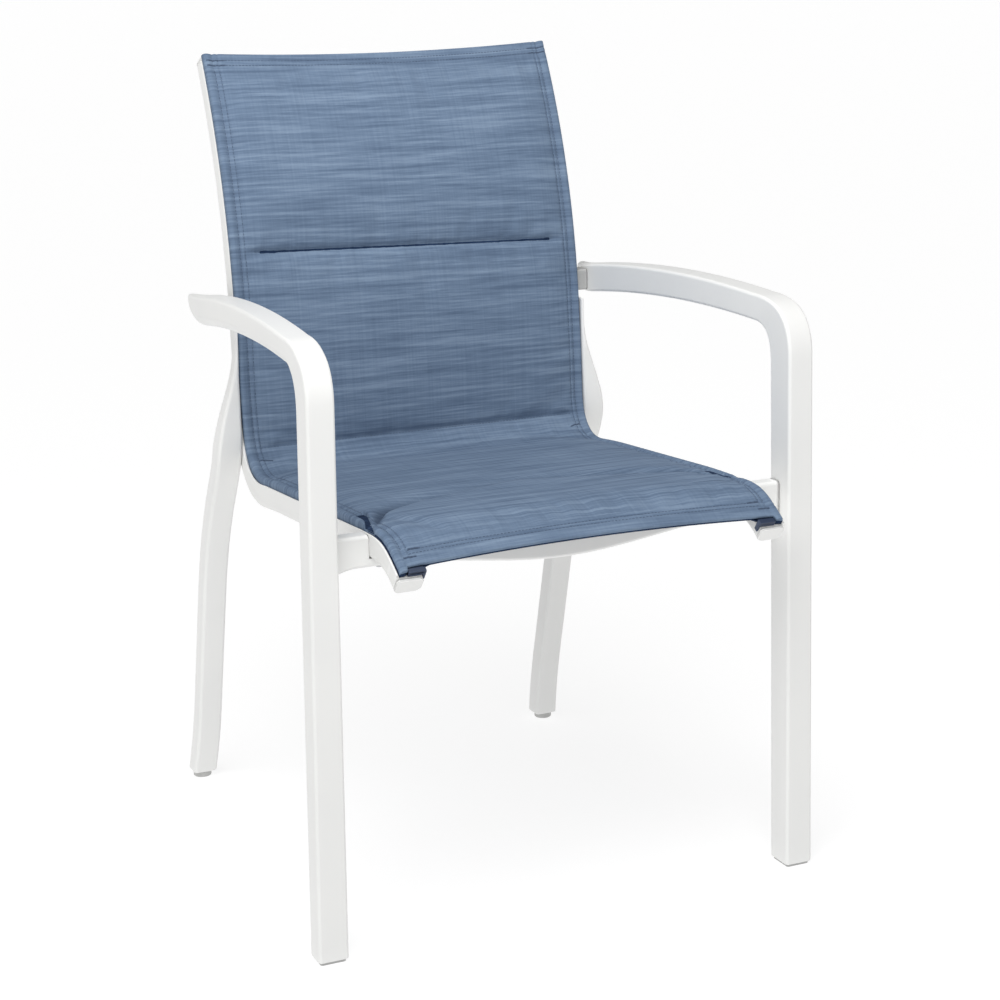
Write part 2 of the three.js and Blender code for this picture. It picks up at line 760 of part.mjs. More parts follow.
function armConnector() {
  const inner = narrowed(railOuter, connectorBottom) + clearance;
  const outer = sideInnerX(connectorMiddle.x, connectorMiddle.y) + frameBigCorner;
  const rings = [inner, outer].map((x) => {
    const centre = new THREE.Vector3(x, connectorMiddle.x, connectorMiddle.y);
    const radii = Array(4).fill(connectorCorner);
    return ring(centre, rearY, upZ, connectorDepth, connectorHeight, radii);
  });
  const arm = sideBody().translate(-clearance, 0, 0);
  return cut(loft(rings), arm, ...holes("arm_connector"));
}

// Foot glides: a flat plate under each front leg and a round foot under each rear leg
const frontGlideCentre = {
  place: new THREE.Vector3((legFootInner + legFootOuter) / 2, legFootDepth / 2, 0),
  height: frontGlideHeight,
};
const rearFootX = railOuter + clearance + rearFootSplay + rearLegWidth / 2;
const rearGlideCentre = {
  place: new THREE.Vector3(rearFootX, rearFootY, 0),
  height: rearFootHeight - clearance,
};

function glideStem({ place, height }, grow) {
  const [start, end] = [height - cutOverrun, height + glideStemLength + grow];
  return rod(place, upZ, start, end, glideStemRadius + grow, stemSides);
}

function frontGlide() {
  const width = legFootOuter - legFootInner - 2 * frontGlideInset;
  const depth = legFootDepth - 2 * frontGlideInset;
  const outerRear = frameBigCorner - frontGlideInset;
  const radii = [outerRear, frontGlideInset, frontGlideInset, frontGlideInset];
  const rings = [0, frontGlideHeight].map((z) => {
    const centre = frontGlideCentre.place.clone().setZ(z);
    return ring(centre, acrossX, rearY, width, depth, radii);
  });
  return join(loft(rings), glideStem(frontGlideCentre, 0));
}

function rearGlide() {
  const { place, height } = rearGlideCentre;
  const profile = [
    [0, 0],
    [rearGlideRadius - rearGlideRound, 0],
    [rearGlideRadius, rearGlideRound],
    [rearGlideRadius, height],
    [0, height],
  ];
  return join(turned(place, upZ, profile, roundSides), glideStem(rearGlideCentre, 0));
}

// Screws of the right side: where the head's underside lies, which way it drives and what it holds
function screwTable() {
  const fromRail = (rise, length, holds, name) => {
    const place = slingPoint(railInner, alongAtHeight(seatHeight + rise), -legScrewBehindLine);
    return { name, place, way: acrossX, length, holds: ["sling_rail", ...holds] };
  };
  const fromUnderRail = (along, name) => {
    const depth = railUnderDepth(along);
    const length = depth - barTopDepth - barThickness / 2;
    const holds = ["sling_rail", "sling_back_cloth", "sling_bar"];
    return { name, place: slingPoint(barCentre, along, -depth), way: slingNormal(along), length, holds };
  };
  const fromFlange = (crossing, offset, spreaderName, name) => {
    const place = slingPoint(flangeFace, crossing + offset, -railMiddleDepth(crossing + offset));
    return { name, place, way: acrossX, length: flangeScrewLength, holds: [spreaderName, "sling_rail"] };
  };
  const arm = new THREE.Vector3(narrowed(railInner, connectorMiddle.y), connectorMiddle.x, connectorMiddle.y);
  const legRear = new THREE.Vector3(frontBarEnd + tenonLength / 2, frontBarRear, frontBarEndMiddle);
  const saddlePlace = new THREE.Vector3(railCentre, frontBarMiddleY, frontBarUnderside);
  return [
    fromRail(legLowerScrewRise, legLowerScrewLength, ["rear_leg"], "rear_leg_lower_screw"),
    fromRail(legUpperScrewRise, legUpperScrewLength, ["rear_leg"], "rear_leg_upper_screw"),
    {
      name: "arm_screw",
      place: arm,
      way: acrossX,
      length: armScrewLength,
      holds: ["sling_rail", "arm_connector", "side_frame"],
    },
    {
      name: "saddle_screw",
      place: saddlePlace,
      way: upZ,
      length: saddleScrewLength,
      holds: ["front_crossbar", "sling_rail"],
    },
    {
      name: "crossbar_screw",
      place: legRear,
      way: rearY.clone().negate(),
      length: tenonScrewLength,
      holds: ["side_frame", "front_crossbar"],
    },
    fromFlange(seatSpreaderPlace, -flangeScrewOffset, "seat_spreader", "seat_spreader_front_screw"),
    fromFlange(seatSpreaderPlace, flangeScrewOffset, "seat_spreader", "seat_spreader_rear_screw"),
    fromFlange(backSpreaderPlace, -flangeScrewOffset, "back_spreader", "back_spreader_lower_screw"),
    fromFlange(backSpreaderPlace, flangeScrewOffset, "back_spreader", "back_spreader_upper_screw"),
    fromUnderRail(alongAtY(seatDepth - barScrewSeatReach), "sling_bar_seat_screw"),
    fromUnderRail(alongAtHeight(seatHeight + barScrewLowerRise), "sling_bar_lower_screw"),
    fromUnderRail(alongAtHeight(seatHeight + barScrewUpperRise), "sling_bar_upper_screw"),
  ];
}

const screws = screwTable();

function screw({ place, way, length }) {
  const profile = [
    [0, -clearance - screwHeadHeight],
    [screwHeadRadius / 2, -clearance - screwHeadHeight],
    [screwHeadRadius, -clearance - screwHeadHeight / 2],
    [screwHeadRadius, -clearance],
    [screwRadius, -clearance],
    [screwRadius, length - screwRadius],
    [0, length],
  ];
  return turned(place, way, profile, screwSides);
}

// Cutters for the screws that pass into a piece of the right side
function holes(piece) {
  return screws
    .filter(({ holds }) => holds.includes(piece))
    .map(({ place, way, length }) =>
      rod(place, way, -cutOverrun, length + clearance, screwRadius + clearance, screwSides),
    );
}

// Assembly, moved so that its box stands on the origin with its middle over it
const chair = new THREE.Group();

function addPiece(name, geometry, finish) {
  const mesh = new THREE.Mesh(geometry, new THREE.MeshStandardMaterial(finish));
  mesh.name = name;
  mesh.geometry.computeVertexNormals();
  chair.add(mesh);
}

function addPair(name, geometry, finish) {
  addPiece(`${name}_right`, geometry, finish);
  addPiece(`${name}_left`, mirrored(geometry), finish);
}

addPair("side_frame", sideFrame(), whiteResin);
addPair("rear_leg", rearLeg(), whiteResin);
addPair("sling_rail", rail(), whiteResin);
addPiece("front_crossbar", frontCrossbar(), whiteResin);
addPiece("seat_spreader", spreader(seatSpreaderPlace, seatSpreaderBow, "seat_spreader"), whiteResin);
addPiece("back_spreader", spreader(backSpreaderPlace, backSpreaderBow, "back_spreader"), whiteResin);
addPair("arm_connector", armConnector(), greyResin);
addPair("rail_front_cap", railCap(0, 1), whiteResin);
addPair("rail_top_cap", railCap(slingLength, -1), whiteResin);
addPair("front_glide", frontGlide(), greyResin);
addPair("rear_glide", rearGlide(), greyResin);
addPair("sling_bar", slingBar(), aluminium);
addPair("sleeve_plug", sleevePlug(), navyResin);
addPiece("sling_front_cloth", frontCloth(), blueMesh);
addPiece("sling_back_cloth", backCloth(), navyMesh);
for (const panel of panels) addPiece(panel.name, pad(panel), foam);
for (const item of screws) addPair(item.name, screw(item), steel);

const bounds = new THREE.Box3().setFromObject(chair);
const middle = bounds.getCenter(new THREE.Vector3());
chair.position.set(-middle.x, -middle.y, -bounds.min.z);

export default new THREE.Group().add(chair);
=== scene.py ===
import math

import bmesh
import bpy
import numpy as np
from mathutils import Matrix, Vector


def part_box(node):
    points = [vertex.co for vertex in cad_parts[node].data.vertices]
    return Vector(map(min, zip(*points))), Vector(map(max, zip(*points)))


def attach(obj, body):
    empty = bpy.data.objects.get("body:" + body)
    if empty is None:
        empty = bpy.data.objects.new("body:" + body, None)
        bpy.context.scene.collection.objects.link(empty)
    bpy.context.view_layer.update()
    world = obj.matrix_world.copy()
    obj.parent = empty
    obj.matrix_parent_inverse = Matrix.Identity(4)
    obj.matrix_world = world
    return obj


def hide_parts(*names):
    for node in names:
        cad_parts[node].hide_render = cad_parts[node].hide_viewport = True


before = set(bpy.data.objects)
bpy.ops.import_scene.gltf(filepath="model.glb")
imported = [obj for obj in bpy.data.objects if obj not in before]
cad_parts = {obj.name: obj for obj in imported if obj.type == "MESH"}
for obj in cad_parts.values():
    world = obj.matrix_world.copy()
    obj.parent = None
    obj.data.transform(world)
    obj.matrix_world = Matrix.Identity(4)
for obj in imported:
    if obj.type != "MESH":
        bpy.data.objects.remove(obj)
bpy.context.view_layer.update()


# Side frames. Each is one moulding of white resin: a front leg that bends over into an armrest
# and ends in a pointed tail. The mould leaves its edges soft and its faces with a fine matt grain.
MM = 0.001
LEG_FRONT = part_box("side_frame_right")[0][1]
FIT = 0.3
SEAT_HEIGHT = 439.5
SEAT_DEPTH = 400.0
RAIL_OUTER = 214.7
ARM_HEIGHT = SEAT_HEIGHT + 190.5
ARM_THICKNESS = 29.0
ARM_BEND_REACH = 72.5
ARM_INNER_BEND_DROP = 43.4
ARM_CROWN = 13.3
ARM_UNDER_CROWN = 11.4
ARM_LENGTH = SEAT_DEPTH + 72.7
ARM_REAR_DROP = 17.4
ARM_UNDER_DROP = 22.9
ARM_REAR_INNER = RAIL_OUTER + 9.8
ARM_REAR_OUTER = ARM_REAR_INNER + 30.3
ARM_TIP_X = RAIL_OUTER + 34.9
ARM_TIP_HEIGHT = ARM_HEIGHT - 13.0
ARM_TIP_ROUND = 63.0
ARM_TIP_TURN = 76.0
LEG_TOP_INNER = RAIL_OUTER + 35.8
LEG_TOP_OUTER = LEG_TOP_INNER + 29.0
LEG_FOOT_INNER = LEG_TOP_INNER + 6.5
LEG_FOOT_OUTER = LEG_FOOT_INNER + 32.3
LEG_FOOT_DEPTH = 35.0
LEG_TOP_DEPTH = 39.0
LEG_BEND_HEIGHT = ARM_HEIGHT - 58.0
FRAME_CORNER = 3.6
FRAME_OUTER_CORNER = 13.0
FRAME_END_ROUND = 1.2
LEG_RING_SPACING = 14.0
BEND_RINGS = 25
ARM_RINGS = 34
TIP_RINGS = 19
FRONT_GLIDE_HEIGHT = 3.0
GRAIN_RISE = 0.2
ACROSS = np.array([1.0, 0.0, 0.0])


def between(start, end, share):
    return start + (end - start) * share


def spaced(start, end, spacing):
    return np.linspace(start, end, max(2, int(abs(end - start) / spacing) + 1))


def bent(start, corner, end, share):
    start, corner, end = (np.asarray(point, float) for point in (start, corner, end))
    return (1 - share) ** 2 * start + 2 * share * (1 - share) * corner + share**2 * end


def section(centre, width_way, depth_way, width, depth, radii, steps=6):
    """A rounded rectangle in space, with its own radius on each corner."""
    points = []
    for corner, (sign_x, sign_y) in enumerate(((1, 1), (-1, 1), (-1, -1), (1, -1))):
        radius = min(radii[corner], width / 2, depth / 2)
        for step in range(steps + 1):
            angle = math.radians(90 * (corner + step / steps))
            across = sign_x * (width / 2 - radius) + radius * math.cos(angle)
            along = sign_y * (depth / 2 - radius) + radius * math.sin(angle)
            points.append(centre + width_way * across + depth_way * along)
    return np.array(points)


def rounded_ends(rings, radius, steps=3):
    """The same rings, with the edges of both end faces rounded over."""
    rings = [np.asarray(ring) for ring in rings]

    def rounded(end, inner):
        way = end.mean(axis=0) - inner.mean(axis=0)
        way = way / np.linalg.norm(way)
        spokes = end - end.mean(axis=0)
        spokes = spokes / np.linalg.norm(spokes, axis=1)[:, None]
        made = []
        for angle in np.linspace(0, math.pi / 2, steps + 1):
            inward = spokes * radius * (1 - math.cos(angle))
            made.append(end - inward - way * radius * (1 - math.sin(angle)))
        return made

    first = rounded(rings[0], rings[1])
    last = rounded(rings[-1], rings[-2])
    return [*reversed(first), *rings[1:-1], *last]


def in_scene(name, data):
    item = bpy.data.objects.new(name, data)
    bpy.context.scene.collection.objects.link(item)
    return item


def meshed(name, vertices, faces):
    """A smooth mesh piece in the scene, its faces turned outwards."""
    mesh = bpy.data.meshes.new(name)
    mesh.from_pydata(vertices, [], faces)
    shell = bmesh.new()
    shell.from_mesh(mesh)
    bmesh.ops.recalc_face_normals(shell, faces=shell.faces)
    shell.to_mesh(mesh)
    shell.free()
    mesh.shade_smooth()
    return in_scene(name, mesh)


def moulded(name, parts, side=1):
    """A mesh piece from lofted bodies, each given as its rings, on the right or the left side."""
    vertices, faces = [], []
    for rings in parts:
        base, count = len(vertices), len(rings[0])
        for ring in rings:
            vertices += [(side * x * MM, y * MM + LEG_FRONT, z * MM) for x, y, z in ring]
        for row in range(len(rings) - 1):
            start = base + row * count
            for i in range(count):
                after = (i + 1) % count
                faces.append((start + i, start + after, start + count + after, start + count + i))
        faces.append(tuple(base + i for i in range(count)))
        faces.append(tuple(base + (len(rings) - 1) * count + i for i in reversed(range(count))))
    return meshed(name, vertices, faces)


def finished(piece, material, slot, *nodes):
    """Gives a piece its finish and ties it to the frame, in place of its nodes."""
    piece.data.materials.clear()
    piece.data.materials.append(material)
    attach(piece, "root")
    if nodes:
        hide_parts(*nodes)
    return piece


def fitted(piece, material, slot, *nodes):
    """Finishes a hard piece, with its flat faces shaded flat up to their rounded edges."""
    shading = piece.modifiers.new("even shading", "WEIGHTED_NORMAL")
    shading.keep_sharp = True
    return finished(piece, material, slot, *nodes)


def new_group(name, inputs, outputs):
    """An empty node group with named inputs and outputs."""
    group = bpy.data.node_groups.new(name, "ShaderNodeTree")
    for label, kind, value in inputs:
        socket = group.interface.new_socket(label, in_out="INPUT", socket_type=kind)
        if value is not None:
            socket.default_value = value
    for label, kind in outputs:
        group.interface.new_socket(label, in_out="OUTPUT", socket_type=kind)
    return group, group.nodes.new("NodeGroupInput"), group.nodes.new("NodeGroupOutput")


def math_node(tree, operation, first, second=None, clamp=False):
    node = tree.nodes.new("ShaderNodeMath")
    node.operation, node.use_clamp = operation, clamp
    for socket, value in zip(node.inputs, (first, second)):
        if value is None:
            continue
        if isinstance(value, (int, float)):
            socket.default_value = value
        else:
            tree.links.new(value, socket)
    return node.outputs[0]


def noise_node(tree, vector, scale, detail=2.0, roughness=0.5):
    node = tree.nodes.new("ShaderNodeTexNoise")
    node.inputs["Scale"].default_value = scale
    node.inputs["Detail"].default_value = detail
    node.inputs["Roughness"].default_value = roughness
    tree.links.new(vector, node.inputs["Vector"])
    return node.outputs["Fac"]


def ramp_node(tree, value, stops):
    node = tree.nodes.new("ShaderNodeValToRGB")
    elements = node.color_ramp.elements
    while len(elements) < len(stops):
        elements.new(0.5)
    for element, (place, colour) in zip(elements, stops):
        element.position = place
        element.color = (*colour, 1.0) if hasattr(colour, "__len__") else (colour,) * 3 + (1.0,)
    tree.links.new(value, node.inputs["Fac"])
    return node.outputs["Color"]


def mix_node(tree, factor, first, second, blend="MIX"):
    node = tree.nodes.new("ShaderNodeMix")
    node.data_type, node.blend_type = "RGBA", blend
    for socket, value in ((node.inputs[0], factor), (node.inputs[6], first), (node.inputs[7], second)):
        if isinstance(value, (int, float)):
            socket.default_value = value
        elif isinstance(value, tuple):
            socket.default_value = (*value, 1.0)
        else:
            tree.links.new(value, socket)
    return node.outputs[2]


def moulded_grain():
    """Cloudy tone, a fine moulded grain, and a painted highlight that makes the rounded edges paler."""
    inputs = [
        ("Colour", "NodeSocketColor", (0.8, 0.8, 0.8, 1)),
        ("Cloud colour", "NodeSocketColor", (0.75, 0.75, 0.75, 1)),
        ("Edge highlight colour", "NodeSocketColor", (0.85, 0.85, 0.85, 1)),
        ("Roughness", "NodeSocketFloat", 0.4),
    ]
    outputs = [("Colour", "NodeSocketColor"), ("Roughness", "NodeSocketFloat"), ("Height", "NodeSocketFloat")]
    tree, given, result = new_group("moulded grain", inputs, outputs)
    place = tree.nodes.new("ShaderNodeTexCoord").outputs["Object"]
    clouds = noise_node(tree, place, 9.0, 3.0)
    speckle = noise_node(tree, place, 520.0, 2.0)
    grain = noise_node(tree, place, 1500.0, 1.0)
    tone = ramp_node(tree, clouds, [(0.35, 0.0), (0.7, 1.0)])
    body = mix_node(tree, tone, given.outputs["Colour"], given.outputs["Cloud colour"])
    bends = tree.nodes.new("ShaderNodeNewGeometry").outputs["Pointiness"]
    # Painted highlight: convex edges get the paler edge colour, as if catching the light.
    edges = ramp_node(tree, bends, [(0.505, 0.0), (0.56, 1.0)])
    tree.links.new(mix_node(tree, edges, body, given.outputs["Edge highlight colour"]), result.inputs["Colour"])
    spread = math_node(tree, "MULTIPLY_ADD", speckle, 0.16)
    spread.node.inputs[2].default_value = -0.08
    rough = math_node(tree, "ADD", given.outputs["Roughness"], spread, clamp=True)
    tree.links.new(rough, result.inputs["Roughness"])
    waves = math_node(tree, "MULTIPLY", noise_node(tree, place, 60.0, 1.0), 0.6)
    height = math_node(tree, "ADD", math_node(tree, "MULTIPLY", grain, 0.4), waves)
    tree.links.new(height, result.inputs["Height"])
    return tree


grain_group = moulded_grain()


def new_material(name):
    material = bpy.data.materials.new(name)
    material.use_nodes = True
    tree = material.node_tree
    return material, tree, tree.nodes["Principled BSDF"]


def surfaced(tree, shader, pattern, strength, distance):
    """Gives a material the colour, the roughness and the relief of a pattern's node group."""
    raised = tree.nodes.new("ShaderNodeBump")
    raised.inputs["Strength"].default_value = strength
    raised.inputs["Distance"].default_value = distance * MM
    tree.links.new(pattern.outputs["Colour"], shader.inputs["Base Color"])
    tree.links.new(pattern.outputs["Roughness"], shader.inputs["Roughness"])
    tree.links.new(pattern.outputs["Height"], raised.inputs["Height"])
    tree.links.new(raised.outputs["Normal"], shader.inputs["Normal"])


# Each resin's edge colour is a painted highlight, a little paler than its body, laid on the rounded edges.
def resin(name, colour, cloud, edge, roughness, bump):
    material, tree, shader = new_material(name)
    grain = tree.nodes.new("ShaderNodeGroup")
    grain.node_tree = grain_group
    grain.inputs["Colour"].default_value = (*colour, 1)
    grain.inputs["Cloud colour"].default_value = (*cloud, 1)
    grain.inputs["Edge highlight colour"].default_value = (*edge, 1)
    grain.inputs["Roughness"].default_value = roughness
    surfaced(tree, shader, grain, bump, GRAIN_RISE)
    return material


white_resin = resin("white resin", (0.80, 0.80, 0.785), (0.775, 0.777, 0.765), (0.84, 0.84, 0.83), 0.42, 0.25)


def leg_depth(height):
    return between(LEG_FOOT_DEPTH, LEG_TOP_DEPTH, min(1, height / LEG_BEND_HEIGHT))


def side_x(foot, top, rear, y, z):
    leg = between(foot, top, min(1, z / ARM_HEIGHT))
    return between(leg, rear, max(0, (y - LEG_TOP_DEPTH) / (ARM_LENGTH - LEG_TOP_DEPTH)))


def side_inner_x(y, z):
    return side_x(LEG_FOOT_INNER, LEG_TOP_INNER, ARM_REAR_INNER, y, z)


def side_outer_x(y, z):
    return side_x(LEG_FOOT_OUTER, LEG_TOP_OUTER, ARM_REAR_OUTER, y, z)


def side_section(outer, inner, drawn):
    """One section from two facing outline points, drawn in by a share towards the tip's centre."""
    y, z = (outer + inner) / 2
    left = between(side_inner_x(y, z), ARM_TIP_X, drawn)
    right = between(side_outer_x(y, z), ARM_TIP_X, drawn)
    way = np.array([0, *(outer - inner)])
    depth = np.linalg.norm(way)
    radii = (FRAME_CORNER, FRAME_CORNER, FRAME_CORNER, FRAME_OUTER_CORNER)
    centre = np.array([(left + right) / 2, y, z])
    return section(centre, ACROSS, way / depth, right - left, depth, radii)


def side_rings():
    foot = FRONT_GLIDE_HEIGHT + FIT
    half = (foot + LEG_BEND_HEIGHT) / 2
    inner_bend = ARM_HEIGHT - ARM_THICKNESS - ARM_INNER_BEND_DROP
    outer, inner = [], []
    for z in spaced(foot, LEG_BEND_HEIGHT, LEG_RING_SPACING):
        inner_z = np.interp(z, (foot, half, LEG_BEND_HEIGHT), (foot, half, inner_bend))
        outer.append(np.array([0, z]))
        inner.append(np.array([leg_depth(z), inner_z]))
    arm_start = (ARM_BEND_REACH, ARM_HEIGHT)
    under_start = (ARM_BEND_REACH, ARM_HEIGHT - ARM_THICKNESS)
    inner_corner = (LEG_TOP_DEPTH, under_start[1])
    bend_from = outer[-1], inner[-1]
    for share in np.linspace(0, 1, BEND_RINGS)[1:]:
        outer.append(bent(bend_from[0], (0, ARM_HEIGHT), arm_start, share))
        inner.append(bent(bend_from[1], inner_corner, under_start, share))
    middle = (ARM_BEND_REACH + ARM_LENGTH) / 2
    top = (arm_start, (middle, ARM_HEIGHT + ARM_CROWN), (ARM_LENGTH, ARM_HEIGHT - ARM_REAR_DROP))
    under_end = (ARM_LENGTH, under_start[1] - ARM_UNDER_DROP)
    under = (under_start, (middle, under_start[1] + ARM_UNDER_CROWN), under_end)
    tip = 1 - ARM_TIP_ROUND / (ARM_LENGTH - ARM_BEND_REACH)
    for share in np.linspace(0, tip, ARM_RINGS)[1:]:
        outer.append(bent(*top, share))
        inner.append(bent(*under, share))
    rings = [side_section(*pair, 0) for pair in zip(outer, inner)]
    for share in np.linspace(0, 1, TIP_RINGS)[1:]:
        turn = math.radians(ARM_TIP_TURN * share)
        drawn = 1 - math.cos(turn)
        pair = []
        for line in (top, under):
            point = bent(*line, between(tip, 1, math.sin(turn)))
            pair.append(np.array([point[0], between(point[1], ARM_TIP_HEIGHT, drawn)]))
        rings.append(side_section(*pair, drawn))
    return rings


SIDES = (("right", 1), ("left", -1))
side_frame_rings = rounded_ends(side_rings(), FRAME_END_ROUND)
for word, side in SIDES:
    piece = moulded(f"side_frame_{word}_moulding", [side_frame_rings], side)
    fitted(piece, white_resin, "white_frame", f"side_frame_{word}")


# Sling line. The rails, the caps, the sling and its seams all follow one bent line, from the
# seat's front edge back along the seat, up round the corner and up the leaning back.
SEAT_FALL = 3.7
ROLL_START = 24.0
ROLL_LENGTH = 46.0
ROLL_ANGLE = 38.0
LOWER_BACK_LEAN = 3.7
UPPER_BACK_LEAN = 27.6
BACK_BEND_HEIGHT = SEAT_HEIGHT + 292.5
BACK_HEIGHT = SEAT_HEIGHT + 440.5
LINE_CUTS = (42.0, 58.0, 158.0)
RAIL_TOP_NARROWING = 3.0
LINE_POINTS = 4000
SEAT_POINTS = 1800


def rounded_line(corners, cuts, steps=240):
    """Points, and the length to each, of a line whose inner corners are rounded over."""
    corners = [np.asarray(corner, float) for corner in corners]
    points = [corners[0][None]]
    for before, corner, after, reach in zip(corners, corners[1:], corners[2:], cuts):
        start = corner + (before - corner) * reach / np.linalg.norm(before - corner)
        end = corner + (after - corner) * reach / np.linalg.norm(after - corner)
        points.append(np.array([bent(start, corner, end, s) for s in np.linspace(0, 1, steps)]))
    points.append(corners[-1][None])
    points = np.concatenate(points)
    lengths = np.concatenate([[0], np.cumsum(np.linalg.norm(np.diff(points, axis=0), axis=1))])
    even = np.linspace(0, lengths[-1], LINE_POINTS)
    return np.stack([np.interp(even, lengths, points[:, i]) for i in (0, 1)], axis=1), even


def sling_corners():
    slope = math.tan(math.radians(SEAT_FALL))
    roll = np.array([-ROLL_START, SEAT_HEIGHT + ROLL_START * slope])
    turn = math.radians(ROLL_ANGLE)
    edge = roll - ROLL_LENGTH * np.array([math.cos(turn), math.sin(turn)])
    corner = (SEAT_DEPTH, SEAT_HEIGHT - SEAT_DEPTH * slope)
    bend_y = SEAT_DEPTH + (BACK_BEND_HEIGHT - corner[1]) * math.tan(math.radians(LOWER_BACK_LEAN))
    top_y = bend_y + (BACK_HEIGHT - BACK_BEND_HEIGHT) * math.tan(math.radians(UPPER_BACK_LEAN))
    return [edge, roll, corner, (bend_y, BACK_BEND_HEIGHT), (top_y, BACK_HEIGHT)]


line_points, line_lengths = rounded_line(sling_corners(), LINE_CUTS)
line_ways = np.gradient(line_points, line_lengths, axis=0)
line_ways /= np.linalg.norm(line_ways, axis=1)[:, None]
SLING_LENGTH = float(line_lengths[-1])


def line_at(along):
    return [np.interp(along, line_lengths, line_points[:, i]) for i in (0, 1)]


def way_at(along):
    return [np.interp(along, line_lengths, line_ways[:, i]) for i in (0, 1)]


def along_y(y):
    """How far along the line a place on the seat lies, from how far back it is."""
    return float(np.interp(y, line_points[:SEAT_POINTS, 0], line_lengths[:SEAT_POINTS]))


def along_height(z):
    """How far along the line a place on the back lies, from its height."""
    upright = line_points[:, 0] > SEAT_DEPTH - 2
    return float(np.interp(z, line_points[upright, 1], line_lengths[upright]))


def narrowed(x, z):
    rise = np.maximum(0, z - SEAT_HEIGHT) / (BACK_HEIGHT - SEAT_HEIGHT)
    return x * (1 - RAIL_TOP_NARROWING / RAIL_OUTER * rise)


def sling_place(x, along, height):
    """Places from how far across, how far along the line and how high towards the sitter."""
    (y, z), (way_y, way_z) = line_at(along), way_at(along)
    return np.stack([narrowed(x, z), y - way_z * height, z + way_y * height], axis=-1)


def line_normal(along):
    way_y, way_z = way_at(along)
    return np.array([0, -way_z, way_y])


# Sling rails. Each is a white tube of rounded section, bent to the line of the sling, with a thin
# wall along its outer edge that guards the sling's side on the seat. A cap closes each end.
RAIL_WIDTH = 28.0
RAIL_CENTRE = RAIL_OUTER - RAIL_WIDTH / 2
RAIL_SEAT_DEPTH = 18.0
RAIL_BACK_DEPTH = 22.0
RAIL_RADII = (4.0, 4.0, 7.0, 4.0)
CLOTH = 1.8
SOFT_FIT = 0.4
BAR_THICKNESS = 3.0
CORNER_CUT = LINE_CUTS[1]
RAIL_TOP = 2 * (CLOTH + SOFT_FIT) + BAR_THICKNESS + SOFT_FIT
CAP_THICKNESS = 4.0
CAP_ROUND = 1.2
RAIL_ROUND = 0.5
RAIL_RING_SPACING = 4.0
CAP_RING_SPACING = 1.0
WALL_THICKNESS = 2.2
WALL_SINK = 0.04
WALL_ROOT = 6.0
WALL_RADII = (1.0, 1.0, 0.3, 0.3)
ROLL_WALL_DROP = 6.2
SEAT_WALL_HEIGHT = -0.8
BACK_WALL_SINK = 2.0
EDGE_LIFT, ROLL_LIFT, SEAT_LIFT = 1.5, 4.5, 7.0
BACK_START = along_y(SEAT_DEPTH)
WALL_END = BACK_START + 85.0
WALL_RISE, WALL_FALL = (98.0, 124.0), (BACK_START - 20, BACK_START + 80)
ROLL_RISE, SEAT_RISE = (15.0, 60.0), (60.0, 170.0)
LIFT_FALL = (BACK_START - 60, BACK_START + 110)


def eased(value, low, high):
    share = np.clip((value - low) / (high - low), 0, 1)
    return share * share * (3 - 2 * share)


def rail_depth(along):
    share = eased(along, BACK_START - CORNER_CUT, BACK_START + CORNER_CUT)
    return between(RAIL_SEAT_DEPTH, RAIL_BACK_DEPTH, share)


def rail_sweep(x, width, start, end, top_of, depth_of, radii, spacing=RAIL_RING_SPACING):
    rings = []
    for along in spaced(start, end, spacing):
        depth = depth_of(along)
        centre = sling_place(x, along, -top_of(along) - depth / 2)
        rings.append(section(centre, ACROSS, line_normal(along), width, depth, radii))
    return rings


def rail_stretch(start, end, spacing=RAIL_RING_SPACING):
    sizes = (lambda along: RAIL_TOP, rail_depth, RAIL_RADII, spacing)
    return rail_sweep(RAIL_CENTRE, RAIL_WIDTH, start, end, *sizes)


def sling_lift(along):
    """How far the sling's side borders stand above the line that the rails are bent to."""
    on_roll = EDGE_LIFT + (ROLL_LIFT - EDGE_LIFT) * eased(along, *ROLL_RISE)
    on_seat = on_roll + (SEAT_LIFT - ROLL_LIFT) * eased(along, *SEAT_RISE)
    return on_seat - SEAT_LIFT * eased(along, *LIFT_FALL)


def wall_height(along):
    """The wall hides the sling's side on the seat, is low at the front roll and sinks up the back."""
    wall = between(sling_lift(along) - ROLL_WALL_DROP, SEAT_WALL_HEIGHT, eased(along, *WALL_RISE))
    return between(wall, -RAIL_TOP - BACK_WALL_SINK, eased(along, *WALL_FALL))


def applied(piece):
    """Makes a piece's modifiers part of its mesh."""
    bpy.context.view_layer.update()
    graph = bpy.context.evaluated_depsgraph_get()
    mesh = bpy.data.meshes.new_from_object(piece.evaluated_get(graph))
    piece.modifiers.clear()
    piece.data = mesh
    return piece


def combined(piece, other, operation):
    """Cuts a body out of a piece, or joins it on, and removes that body."""
    change = piece.modifiers.new("carving", "BOOLEAN")
    change.operation, change.solver, change.object = operation, "EXACT", other
    applied(piece)
    bpy.data.objects.remove(other)
    return piece


